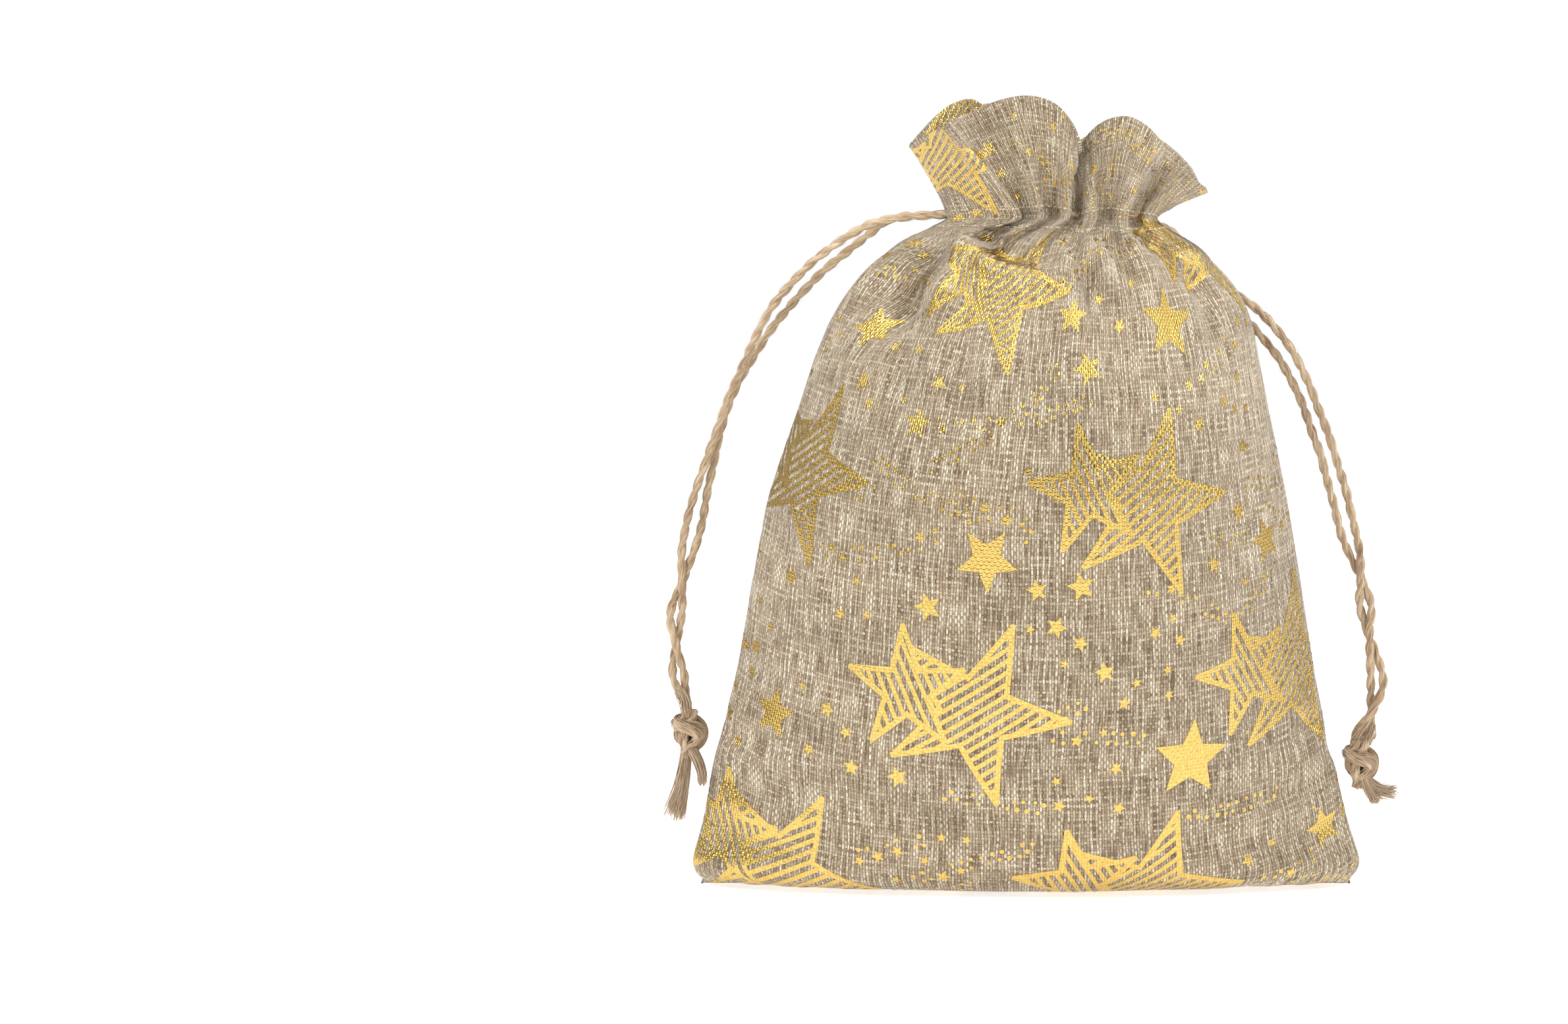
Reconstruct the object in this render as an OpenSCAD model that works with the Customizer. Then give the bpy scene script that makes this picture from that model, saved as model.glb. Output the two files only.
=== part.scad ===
// Fabric gift sack: two sewn cloth panels, a gathered neck and two drawstrings that close it.
// Millimetres, +Z up, front towards -Y, origin under the middle of the flat base.

/* [Cloth] */
// Thickness of one panel of the sack
cloth = 1; // [0.6:0.1:1.6]
// Width of the seam allowance inside the sack
seam_w = 6; // [4:0.5:8]
// Thickness of a seam, two plies of cloth
seam_t = 1.2; // [0.8:0.1:2]

/* [Neck] */
// Left end of the gathered neck
neck_left = -18; // [-20:1:-16]
// Right end of the gathered neck
neck_right = 29; // [27:1:31]
// Height of the bottom of the drawstring casing
neck_z = 147; // [147:0.5:148]
// Height of the casing band
casing_h = 8; // [7.5:0.5:9]
// Depth of the gathered neck from the middle to its front
neck_d = 9.5; // [9:0.5:11]
// Half of the gap left through the gathered neck
mouth_half = 3.5; // [3:0.25:4]
// Number of gathered puffs along the neck
puffs = 9; // [6:1:12]

/* [Ruffle] */
// Thickness of the doubled header cloth
header = 1.2; // [1:0.1:1.6]
// How far the ruffle leans out at its top
flare_d = 11; // [8:0.5:12]
// Depth of the ruffle's folds
fold_d = 3; // [1:0.25:4]
// Folds across the ruffle
folds = 4; // [3:1:6]

/* [Cords] */
// Diameter of a drawstring
cord_d = 2; // [1.6:0.1:2.4]
// Height of the drawstring that hangs on the left
left_z = 152; // [151.8:0.1:152.2]
// Height of the drawstring that hangs on the right
right_z = 149; // [148.8:0.1:149.2]
// How far a drawstring can be pulled out of the drawn neck
pull = 10; // [6:1:10]

/* [Hidden] */

linen = "#b0a38e";
thread = "#cbbd9d";
jute = "#be9f76";

// The filled sack from its base up, as rows of height, left edge, right edge and half depth
rows = [
    [0, -71, 71, 16],
    [5, -75, 75, 18],
    [16, -72.5, 71, 22],
    [32, -70, 68, 27],
    [50, -66, 65.5, 31],
    [70, -62.5, 62.5, 34.5],
    [90, -58.5, 59, 36.5],
    [108, -52, 55, 35.5],
    [122, -47.5, 52.5, 31],
    [132, -43, 50, 25],
    [139, -38, 44.5, 19],
    [144, -33, 38.5, 13.5],
    [146, -27, 34, 11],
    [neck_z, neck_left, neck_right, neck_d]
];
half = seam_t / 2;
steps = 24;
point_of_lens = 1.25;
casing_top = neck_z + casing_h;
ply = 0.6;
tunnel_h = casing_h - 2 * ply;
tunnel_z = neck_z + ply;
tunnel_in = 4.5;
tunnel_out = 8.5;
run_y = (tunnel_in + tunnel_out) / 2;
puff_d = 0.7;
steps_per_puff = 6;
// One stitch, and how far each row of stitches lies from the edge of the casing
stitch = [2.4, 0.5, 0.5];
stitch_inset = 0.8;
cord_r = cord_d / 2;
cord_sides = 8;
// How far inside the neck's end a drawstring turns back, and the reach of that turn
turn_in = 4;
turn_reach = 1.6;
// Points along each run inside the casing, and round the knot
run_steps = 7;
knot_steps = 36;

// The height of the ruffle's top edge from its left tip to its right tip
crown = [166, 174, 178, 177, 170, 172, 174, 168, 157];
ruffle_left = -27;
ruffle_right = 39;
ruffle_rows = 6;

// Routes of the strands, from the casing to the knots
left_front_in = [[-20, -6.5, 152], [-23, -4.5, 152], [-26.5, -2, 151.5], [-30, -1.4, 151]];
left_back_in = [[-20, 6.5, 152], [-23, 4.5, 151.5], [-26.5, 2, 151], [-30, 1.4, 151]];
left_front = [
    [-30.5, -1.4, 151], [-36, -1.4, 149.5], [-42, -1.4, 146], [-48, -1.4, 141.5], [-53, -1.4, 136.5],
    [-57.5, -1.4, 131], [-61, -1.4, 124.5], [-64, -1.4, 117.5], [-67, -1.4, 111], [-69.5, -1.2, 104],
    [-72, -1, 97], [-74.5, -0.6, 90], [-76.5, -0.3, 83], [-77.7, 0, 76], [-77.6, -1.3, 69],
    [-77.7, 0, 62], [-79, 1.3, 55], [-79.8, 0, 48], [-77, -1.3, 42], [-76.2, -1.3, 38.5]
];
left_back = [
    [-30.5, 1.4, 151], [-35, 1.4, 148], [-40, 1.4, 144], [-45.5, 1.4, 139.5], [-50, 1.4, 135],
    [-54, 1.4, 130.5], [-58, 1.4, 125.5], [-61.5, 1.4, 120], [-64.5, 1.4, 115], [-67, 1.4, 109.5],
    [-69, 1.2, 103], [-70.5, 0.9, 96], [-72, 0.6, 89], [-73.2, 0.3, 82], [-75, 0, 76],
    [-77.6, 1.3, 69], [-80.3, 0, 62], [-79, -1.3, 55], [-77.2, 0, 48], [-77, 1.3, 42], [-76.2, 1.3, 38.5]
];
right_front_in = [
    [31, -6.5, 149], [33.5, -4.5, 149], [35, -1, 148.6], [35.6, 2.4, 147.4], [36.2, 5.6, 145],
    [37.6, 8.2, 142.4]
];
right_back_in = [[31, 6.5, 149], [32, 8.5, 148], [33, 10.8, 145.6], [34.8, 12.6, 142.6]];
right_front = [
    [39.4, 9.6, 140.5], [43.5, 9.8, 137.2], [48, 8.6, 133.9], [53, 7.2, 130.2], [57.3, 5.8, 125.5],
    [60.5, 4.6, 121], [63.5, 3.4, 115], [66, 2.4, 108.5], [68.5, 1.6, 102], [70.5, 1.2, 95.5],
    [72.5, 0.8, 89], [74, 0.4, 82.5], [75.3, 0, 76.5], [75.6, -1.3, 70.5], [75.5, 0, 64],
    [77.6, 1.3, 57.5], [79.9, 0.6, 51.5], [81, 0, 46], [78.8, -1.3, 40.5], [75.7, -0.3, 35.5],
    [75, 0.9, 31.5]
];
right_back = [
    [37.4, 13.2, 140], [41, 13.2, 136.6], [45.5, 11.6, 132.4], [50.2, 9.8, 128.2], [54.2, 8.2, 123.8],
    [57.5, 6.6, 119.5], [60, 5.2, 115], [62.5, 3.6, 109.5], [64.5, 2.4, 103.5], [66.5, 1.2, 98],
    [68, 0.4, 92], [69.5, -0.2, 86.5], [71, -0.2, 80.5], [72.8, 0.2, 76], [75.6, 1.3, 70.5],
    [78.1, 0, 64], [77.6, -1.3, 57.5], [77.9, -0.7, 51.5], [78.2, 0, 46], [78.4, 1.3, 40.5],
    [78.2, 0.3, 35.5], [77.2, -0.6, 31.5]
];
left_knot_at = [-76, 0, 34.5];
right_knot_at = [76, 0, 27.5];
knot_size = 1.3;

// A point between neighbours on a smooth curve through a list of points
function along(p, i, t) =
    let (a = p[max(i - 1, 0)], b = p[i], c = p[i + 1], d = p[min(i + 2, len(p) - 1)])
    (2 * b + (c - a) * t + (2 * a - 5 * b + 4 * c - d) * t * t + (3 * b - a - 3 * c + d) * t * t * t) / 2;

function smoothed(p) = [for (i = [0 : len(p) - 2]) each [p[i], along(p, i, 0.5)], p[len(p) - 1]];

function unit(v) = v / norm(v);

function heading(p, i) = unit(p[min(i + 1, len(p) - 1)] - p[max(i - 1, 0)]);

// A ring of the tube, square to the route, kept level by crossing with the Y axis
function ring(p, i, r, sides) =
    let (
        t = heading(p, i),
        up = abs(t.y) > 0.9 ? [0, 0, 1] : [0, 1, 0],
        a = unit(cross(t, up)),
        b = cross(t, a)
    )
    [for (k = [0 : sides - 1]) p[i] + r * (cos(360 * k / sides) * a + sin(360 * k / sides) * b)];

// A closed tube along a route, as one polyhedron
module tube(p, r, sides = cord_sides) {
    n = len(p);
    points = [for (i = [0 : n - 1]) each ring(p, i, r, sides)];
    sides_of_tube = [
        for (i = [0 : n - 2], k = [0 : sides - 1])
            let (m = (k + 1) % sides, a = i * sides)
            each [[a + k, a + m, a + sides + m], [a + k, a + sides + m, a + sides + k]]
    ];
    start_cap = [for (k = [1 : sides - 2]) [0, k + 1, k]];
    z = (n - 1) * sides;
    end_cap = [for (k = [1 : sides - 2]) [z, z + k, z + k + 1]];
    polyhedron(points, concat(sides_of_tube, start_cap, end_cap), convexity = 8);
}

// A closed thick sheet between two grids of points with the same number of columns
module thick_sheet(outer, inner, columns) {
    n = len(outer);
    lines = n / columns;
    face = [
        for (j = [0 : lines - 2], i = [0 : columns - 2])
            let (a = j * columns + i, b = a + columns)
            each [[a, a + 1, b + 1], [a, b + 1, b]]
    ];
    back = [for (f = face) [f[0] + n, f[2] + n, f[1] + n]];
    low = [for (i = [0 : columns - 2]) each [[i + 1, i, n + i], [i + 1, n + i, n + i + 1]]];
    t = (lines - 1) * columns;
    high = [
        for (i = [0 : columns - 2])
            let (a = t + i)
            each [[a, a + 1, n + a + 1], [a, n + a + 1, n + a]]
    ];
    e = columns - 1;
    first = [
        for (j = [0 : lines - 2])
            let (a = j * columns, b = a + columns)
            each [[a, b, n + b], [a, n + b, n + a]]
    ];
    last = [
        for (j = [0 : lines - 2])
            let (a = j * columns + e, b = a + columns)
            each [[b, a, n + a], [b, n + a, n + b]]
    ];
    polyhedron(concat(outer, inner), concat(face, back, low, high, first, last), convexity = 6);
}

// One row of the front panel, from the left seam round the front to the right seam
function panel_row(z, left, right, depth) =
    let (mid = (left + right) / 2, wide = (right - left) / 2)
    [for (i = [0 : steps])
        let (t = 180 * i / steps)
        [mid - wide * cos(t), -max(half, depth * pow(sin(t), point_of_lens)), z]];

// The panel turns under to the bottom seam, so its first row lies along that seam
module front_panel_shell() {
    outer = concat(
        panel_row(0, rows[0][1], rows[0][2], 0),
        [for (r = rows) each panel_row(r[0], r[1], r[2], r[3])]
    );
    inner = concat(
        panel_row(cloth, rows[0][1] + cloth, rows[0][2] - cloth, 0),
        [for (r = rows) each panel_row(max(r[0], cloth), r[1] + cloth, r[2] - cloth, r[3] - cloth)]
    );
    thick_sheet(outer, inner, steps + 1);
}

module front_panel() {
    color(linen) front_panel_shell();
}

module back_panel() {
    color(linen) mirror([0, 1, 0]) front_panel_shell();
}

// A flat strip in the plane of the seams, from its outline in X and Z
module seam_strip(outline) {
    translate([0, half, 0]) rotate([90, 0, 0]) linear_extrude(seam_t) polygon(outline);
}

function edge_x(side, r) = side < 0 ? r[1] : r[2];

// The side seam runs up the edge of the panels and again up the end of the ruffle
module side_seam(side, tip_x, tip_z) {
    up = [for (r = rows) if (r[0] > seam_w) r];
    start = lookup(seam_w, [for (r = rows) [r[0], edge_x(side, r)]]);
    edge = concat([[start, seam_w]], [for (r = up) [edge_x(side, r), r[0]]]);
    inside = [for (i = [len(edge) - 1 : -1 : 0]) [edge[i].x - side * seam_w, edge[i].y]];
    seam_strip(concat(edge, inside));
    neck_x = side < 0 ? neck_left : neck_right;
    seam_strip([
        [neck_x, casing_top], [tip_x, tip_z], [tip_x - side * seam_w / 2, tip_z],
        [neck_x - side * seam_w / 2, casing_top]
    ]);
}

module left_side_seam() {
    color(linen) side_seam(-1, ruffle_left, crown[0]);
}

module right_side_seam() {
    color(linen) side_seam(1, ruffle_right, crown[len(crown) - 1]);
}

module bottom_seam() {
    left = [for (r = rows) [r[0], r[1]]];
    right = [for (r = rows) [r[0], r[2]]];
    color(linen) seam_strip([
        [rows[0][1], 0], [rows[0][2], 0], [rows[1][2], rows[1][0]], [lookup(seam_w, right), seam_w],
        [lookup(seam_w, left), seam_w], [rows[1][1], rows[1][0]]
    ]);
}

// The front face of the casing, gathered in puffs along the neck
function puff_y(x) =
    let (turn = 180 * puffs * (x - neck_left) / (neck_right - neck_left))
    -neck_d + puff_d * (1 - abs(sin(turn)));

module casing() {
    n = puffs * steps_per_puff;
    edge = [for (i = [0 : n]) let (x = neck_left + (neck_right - neck_left) * i / n) [x, puff_y(x)]];
    open_end = pull + turn_in + cord_r + 0.5;
    difference() {
        translate([0, 0, neck_z]) linear_extrude(casing_h) polygon(concat(edge,
            [[neck_right, -mouth_half], [neck_left, -mouth_half]]));
        translate([neck_left - 1, -tunnel_out, tunnel_z])
            cube([neck_right - neck_left + 2, tunnel_out - tunnel_in, tunnel_h]);
        // the inner ply stops short of each end, which leaves the slit that the cords come out of
        for (x = [neck_left - 1, neck_right - open_end])
            translate([x, -tunnel_in - 1, tunnel_z])
                cube([open_end + 1, tunnel_in - mouth_half + 2, tunnel_h]);
    }
}

module front_casing() {
    color(linen) casing();
}

module back_casing() {
    color(linen) mirror([0, 1, 0]) casing();
}

// Two rows of stitches, one stitch in each valley between the puffs
module stitching() {
    pitch = (neck_right - neck_left) / puffs;
    for (z = [neck_z + stitch_inset, casing_top - stitch_inset], i = [1 : puffs - 1])
        translate([neck_left + i * pitch, -neck_d + puff_d - 0.1, z]) cube(stitch, center = true);
}

module front_stitching() {
    color(thread) stitching();
}

module back_stitching() {
    color(thread) mirror([0, 1, 0]) stitching();
}

// Height of the crown at a share s of the way along it
function crown_z(s) =
    let (last = len(crown) - 1)
    lookup(s * last, [for (i = [0 : last]) [i, crown[i]]]);

// A point on the outside of the ruffle, s across it and v up it, with the folds turned by phase
function ruffle_point(s, v, phase) =
    let (
        x = neck_left + s * (neck_right - neck_left),
        x_top = ruffle_left + s * (ruffle_right - ruffle_left),
        belly = pow(sin(180 * s), 0.5),
        fold = v * fold_d * sin(360 * folds * s + phase) * belly,
        y = mouth_half + header + (neck_d - mouth_half - header + v * flare_d) * belly * 0.9 + fold
    )
    [x + (x_top - x) * v, -max(half + header, y * min(1, 0.35 + 6 * s, 0.35 + 6 * (1 - s))),
        casing_top + v * (crown_z(s) - casing_top)];

module ruffle(phase) {
    outer = [for (j = [0 : ruffle_rows], i = [0 : steps]) ruffle_point(i / steps, j / ruffle_rows, phase)];
    inner = [for (p = outer) [p.x, p.y + header, p.z]];
    thick_sheet(outer, inner, steps + 1);
}

module front_ruffle() {
    color(linen) ruffle(20);
}

module back_ruffle() {
    color(linen) mirror([0, 1, 0]) ruffle(160);
}

// A drawstring inside the casing: out of one side, along the front, round the far end and back
module cord_in_casing(front_in, back_in, turn_x, side, z) {
    bend = [for (a = [0 : 30 : 180]) [turn_x - side * sin(a) * turn_reach, -run_y * cos(a), z]];
    run = [
        for (i = [0 : run_steps - 1]) turn_x + (front_in[0].x - turn_x) * (run_steps - i) / run_steps
    ];
    straight_front = [for (x = run) [x, -run_y, z]];
    straight_back = [for (i = [len(run) - 1 : -1 : 0]) [run[i], run_y, z]];
    out_front = [for (i = [len(front_in) - 1 : -1 : 1]) front_in[i]];
    out_back = [for (i = [1 : len(back_in) - 1]) back_in[i]];
    tube(concat(out_front, straight_front, bend, straight_back, out_back), cord_r);
}

module left_cord_in_casing() {
    color(jute) cord_in_casing(left_front_in, left_back_in, neck_right - turn_in, -1, left_z);
}

module right_cord_in_casing() {
    color(jute) cord_in_casing(right_front_in, right_back_in, neck_left + turn_in, 1, right_z);
}

module left_front_strand() {
    color(jute) tube(smoothed(left_front), cord_r);
}

module left_back_strand() {
    color(jute) tube(smoothed(left_back), cord_r);
}

module right_front_strand() {
    color(jute) tube(smoothed(right_front), cord_r);
}

module right_back_strand() {
    color(jute) tube(smoothed(right_back), cord_r);
}

// A point on a closed overhand knot, a trefoil, at a turn from 0 to 360 degrees
function trefoil(t) = [sin(t) + 2 * sin(2 * t), -sin(3 * t), cos(t) - 2 * cos(2 * t)];

// The overhand knot that holds both strands, as a closed tube of cord
module knot(at) {
    path = [for (i = [-1 : knot_steps]) at + knot_size * trefoil(360 * i / knot_steps)];
    points = [for (i = [1 : knot_steps]) each ring(path, i, cord_r, cord_sides)];
    faces = [
        for (i = [0 : knot_steps - 1], k = [0 : cord_sides - 1])
            let (m = (k + 1) % cord_sides, a = i * cord_sides, b = ((i + 1) % knot_steps) * cord_sides)
            each [[a + k, a + m, b + m], [a + k, b + m, b + k]]
    ];
    polyhedron(points, faces, convexity = 8);
}

module left_knot() {
    color(jute) knot(left_knot_at);
}

module right_knot() {
    color(jute) knot(right_knot_at);
}

// A frayed end: the plies open out into a brush below the knot
module frayed_end(from, to, spread) {
    tube_points = [from, (from + to) / 2, to];
    n = cord_sides;
    radii = [cord_r, (cord_r + spread) / 2, spread];
    points = [for (i = [0 : 2]) each ring(tube_points, i, radii[i], n)];
    sides_of_tube = [
        for (i = [0 : 1], k = [0 : n - 1])
            let (m = (k + 1) % n, a = i * n)
            each [[a + k, a + m, a + n + m], [a + k, a + n + m, a + n + k]]
    ];
    caps = [for (k = [1 : n - 2]) each [[0, k + 1, k], [2 * n, 2 * n + k, 2 * n + k + 1]]];
    polyhedron(points, concat(sides_of_tube, caps), convexity = 4);
}

module left_frayed_ends() {
    color(jute) {
        frayed_end([-77.5, 0, 30], [-81, 0, 13], 2.4);
        frayed_end([-75, -1.5, 30.5], [-73.6, -3.5, 24], 1.4);
    }
}

module right_frayed_ends() {
    color(jute) {
        frayed_end([79, -0.5, 25.5], [84, -1.5, 22.5], 1.6);
        frayed_end([77, -1, 23], [80, -1.6, 18.8], 1.5);
    }
}

front_panel();
back_panel();
left_side_seam();
right_side_seam();
bottom_seam();
front_casing();
back_casing();
front_stitching();
back_stitching();
front_ruffle();
back_ruffle();
left_cord_in_casing();
left_front_strand();
left_back_strand();
left_knot();
left_frayed_ends();
right_cord_in_casing();
right_front_strand();
right_back_strand();
right_knot();
right_frayed_ends();
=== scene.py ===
"""A filled fabric gift sack: two sewn linen panels with gold foil stars, closed by two jute drawstrings.

Lengths are in millimetres until a mesh is made, and then in metres. The front faces -Y.
Cloth is laid out on a grid: u runs across a panel from its left seam as seen from outside, and v runs up
it from the bottom seam. The grid is shaped by a cloth simulation, and the print, the stitches and the
weave all use the same u and v.
"""

import math

import bpy
import numpy as np
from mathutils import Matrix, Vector
from mathutils.geometry import delaunay_2d_cdt


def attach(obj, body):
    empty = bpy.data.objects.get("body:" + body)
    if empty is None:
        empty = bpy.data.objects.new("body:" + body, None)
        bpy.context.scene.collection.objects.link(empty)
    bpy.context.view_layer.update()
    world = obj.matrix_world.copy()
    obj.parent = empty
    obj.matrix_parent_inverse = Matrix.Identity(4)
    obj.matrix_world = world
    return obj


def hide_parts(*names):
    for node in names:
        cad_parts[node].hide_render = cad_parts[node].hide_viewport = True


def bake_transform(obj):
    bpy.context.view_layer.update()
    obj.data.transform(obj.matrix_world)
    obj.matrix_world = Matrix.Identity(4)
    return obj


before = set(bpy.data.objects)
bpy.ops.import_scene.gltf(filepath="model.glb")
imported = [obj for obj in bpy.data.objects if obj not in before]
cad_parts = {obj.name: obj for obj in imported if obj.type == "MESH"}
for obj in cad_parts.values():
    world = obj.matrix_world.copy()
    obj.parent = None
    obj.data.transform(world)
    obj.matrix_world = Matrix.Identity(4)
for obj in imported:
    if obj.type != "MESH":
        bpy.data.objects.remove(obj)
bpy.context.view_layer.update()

MM = 0.001

# ---------------------------------------------------------------- sizes of the cloth
PANEL_W = 155.0
BODY_H = 174.0
HEADER_H = 34.0
CLOTH_T = 0.5
LINING_GAP = 0.08
CASING_HALF = 4.0
MOUTH_HALF = 3.2
SEAM_W = 6.0
SEAM_T = 1.1

COLUMNS = 60
BODY_ROWS = 68
HEADER_ROWS = 13
REFINED = 2

# The filled sack by height: height, left edge, right edge, half depth
PROFILE = [
    (0, -73, 73.5, 16), (5, -76.3, 77, 18.5), (16, -73.2, 73.3, 23), (32, -70.6, 69.6, 28), (50, -66, 66, 32),
    (70, -62.5, 62.7, 35), (90, -58.5, 59, 37), (108, -52, 55, 37), (120, -48.2, 52.6, 35),
    (130, -44.2, 51, 31), (137, -40, 47.5, 26), (142, -35.5, 42.5, 21), (146, -29, 36, 16),
    (149, -22, 31, 12), (151, -18, 29, 9),
]
LENS = 1.25
ROW_SAMPLES = 200
NECK_Z = 151.0
# Half depths of the flat bottom, from its seam outwards, and how far its cloth lies above the ground
BOTTOM_DEPTHS = (0.01, 5, 10.5)
BOTTOM_Z = 0.6
# Heights at which the body's rows are drawn, closer together where it turns
ROW_HEIGHTS = np.concatenate([np.linspace(0, 16, 9), np.linspace(20, 136, 30), np.linspace(138, NECK_Z, 14)])
GATHER_FROM = 120.0
GATHER_POWER = 2.6

# The gathered neck of the front panel: u, x, y
FRONT_NECK = [
    (0, -18, 0), (5, -16.5, -5), (12, -10.5, -8), (20, -3, -9.8), (24, -1.2, -8.8), (28, -4, -6),
    (34, -0.5, -6.2), (40, 2.2, -9.8), (44, 3.6, -9.4), (49, 3.4, -6.2), (55, 6.2, -6.4), (60, 7.4, -10.2),
    (65, 9.2, -9.6), (70, 9, -5.8), (76, 11.2, -5.6), (82, 12.6, -9.8), (88, 15.2, -9.6), (93, 15.4, -6),
    (100, 18.4, -6.2), (106, 19.4, -9.4), (112, 22, -9), (118, 22, -5.6), (124, 24.6, -5.6), (130, 25.4, -8),
    (138, 27.6, -7), (146, 27.8, -4), (155, 29, 0),
]
# The top edge of the front of the ruffle: u, x, y, z
FRONT_HEM = [
    (0, -27, 1, 167), (10, -22.5, -6.5, 170), (19, -18.6, -13, 171.5), (25, -18, -9.5, 172.6),
    (33, -13, -5.5, 174.8), (41, -7, -7.5, 177.3), (48, -1, -9.5, 178.2), (55, 5, -11, 176.5),
    (62, 9.3, -12, 171.5), (69, 10.8, -11, 165), (74, 9.5, -7, 162), (79, 9.8, -2.5, 162.5),
    (84, 11.3, -4, 167), (92, 15.5, -8, 172), (99, 21, -10.5, 173.6), (106, 26, -12, 171.3),
    (112, 29.3, -10.5, 168), (118, 30.5, -5.5, 166), (124, 31, -1.5, 165), (130, 34, -3.5, 163),
    (138, 37, -8, 159.5), (146, 40, -5.5, 157), (155, 39.5, 0, 157),
]
# The top edge of the back of the ruffle, from the right seam round to the left seam
BACK_HEM = [
    (0, 39.5, 0, 157), (12, 37, 8, 163), (26, 30, 13, 169), (36, 23, 10, 171), (46, 17, 14, 170.5),
    (58, 11, 16, 166.5), (70, 7, 10, 165.5), (80, 4, 8, 169), (92, 0, 14, 174.5), (104, -5, 17, 176),
    (116, -9, 12, 177), (124, -10, 7, 176.5), (132, -13.5, 6, 178), (143, -20, 6, 174.5), (155, -27, 1, 167),
]
BACK_PUFFS = 9
# One gather of the back: share of its width, and how far back it stands
PUFF = ((0.2, 6.0), (0.5, 10), (0.75, 9))
HEADER_LEAN = 1.25

# Creases and puffs in the front of the sack: depth outwards, width, and a line of (x, z)
FOLDS = [
    (-3.6, 2.2, [(-11, 148.7), (-4, 143.5), (2.9, 143), (7.5, 147)]),
    (2.2, 2.8, [(-14.4, 143.5), (-5.2, 139.6), (5.2, 140.6)]),
    (-3.4, 2.0, [(9.2, 149.5), (11, 144), (12.7, 136), (14, 130)]),
    (1.5, 2.4, [(7.5, 145.3), (7, 141), (6.4, 135)]),
    (1.8, 2.4, [(14.4, 146.4), (15.5, 142), (16.7, 135)]),
    (-2.4, 2.2, [(17.5, 148.7), (20, 143), (24, 133)]),
    (1.4, 2.6, [(22, 147), (25, 142), (29, 134)]),
    (3.6, 3.4, [(-13.2, 147.6), (-18.4, 139.5), (-21.9, 128)]),
    (-5.0, 3.4, [(-15.5, 145.8), (-23.6, 140), (-28.2, 132.6), (-32.8, 120)]),
    (2.0, 3.0, [(-24, 143), (-34, 138.5), (-40, 130)]),
    (-2.2, 2.4, [(24, 147), (31, 143), (37, 137), (41, 128)]),
    (1.8, 2.8, [(27, 147), (34, 143.5), (41, 139)]),
]
# The shares of a crease's length over which it deepens from its start and fades to its end
FOLD_START = 0.2
FOLD_END = 0.35
# How many times the grid is smoothed: for its broad shape, on the shoulder, and at the end
BROAD_PASSES = 14
SHOULDER_PASSES = 5
LAST_PASSES = 2
GROUND_GAP = 0.35


# ---------------------------------------------------------------- curves and grids
def catmull(points, per_span):
    """A smooth curve through points, with per_span steps between neighbours."""
    p = np.asarray(points, float)
    made = []
    for i in range(len(p) - 1):
        a, b, c, d = p[max(i - 1, 0)], p[i], p[i + 1], p[min(i + 2, len(p) - 1)]
        for t in np.arange(per_span) / per_span:
            square = (2 * a - 5 * b + 4 * c - d) * t**2
            cube = (3 * b - a - 3 * c + d) * t**3
            made.append((2 * b + (c - a) * t + square + cube) / 2)
    made.append(p[-1])
    return np.array(made)


def length_of(path):
    """The length of a line of points."""
    return np.linalg.norm(np.diff(path, axis=0), axis=1).sum()


def reach_along(path):
    """How far each point of a line is from its start, along the line."""
    return np.r_[0, np.cumsum(np.linalg.norm(np.diff(path, axis=0), axis=1))]


def by_length(points, count):
    """count points evenly spaced along a line."""
    p = np.asarray(points, float)
    reach = reach_along(p)
    at = np.linspace(0, reach[-1], count)
    return np.stack([np.interp(at, reach, p[:, k]) for k in range(p.shape[1])], axis=1)


def by_first(points, values):
    """A smooth curve through points, read where its first number takes these values."""
    p = catmull(points, 8)
    return np.stack([np.interp(values, p[:, 0], p[:, k]) for k in range(1, p.shape[1])], axis=1)


def smoothstep(x):
    """Rises smoothly from 0 to 1 as x does."""
    x = np.clip(x, 0, 1)
    return x * x * (3 - 2 * x)


def panel_row(z, left, right, depth):
    """The front of the sack at one height, from the left seam to the right seam."""
    turn = np.linspace(0, math.pi, ROW_SAMPLES)
    x = (left + right) / 2 - (right - left) / 2 * np.cos(turn)
    y = -depth * np.sin(turn) ** LENS
    return np.c_[by_length(np.c_[x, y], COLUMNS + 1), np.full(COLUMNS + 1, float(z))]


def filled_front():
    """Rows of the front panel, evenly spaced up the cloth from the bottom seam to the neck."""
    _, left, right, _ = PROFILE[0]
    rows = [panel_row(BOTTOM_Z, left - 1, right + 1, depth) for depth in BOTTOM_DEPTHS]
    table = np.array(PROFILE, float)
    for z in ROW_HEIGHTS:
        rows.append(panel_row(z, *[np.interp(z, table[:, 0], table[:, k]) for k in (1, 2, 3)]))
    grid = np.array(rows)
    return np.stack([by_length(grid[:, i], BODY_ROWS + 1) for i in range(COLUMNS + 1)], axis=1)


def back_neck(columns):
    """The gathered neck of the back panel, from the right seam to the left seam."""
    left, right = FRONT_NECK[0][1], FRONT_NECK[-1][1]
    middle, half = (left + right) / 2, (right - left) / 2
    shares = np.random.default_rng(5).uniform(0.7, 1.3, BACK_PUFFS)
    widths = shares / shares.sum() * (right - left)
    corners = [(right, 0.0)]
    x = right
    for wide in widths:
        bow = math.sqrt(1 - 0.8 * ((x - wide / 2 - middle) / half) ** 2)
        corners += [(x - wide * along, depth * bow) for along, depth in PUFF]
        x -= wide
    corners[-1] = (left + 1, 4.0)
    corners.append((left, 0.0))
    return by_length(corners, columns)


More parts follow.
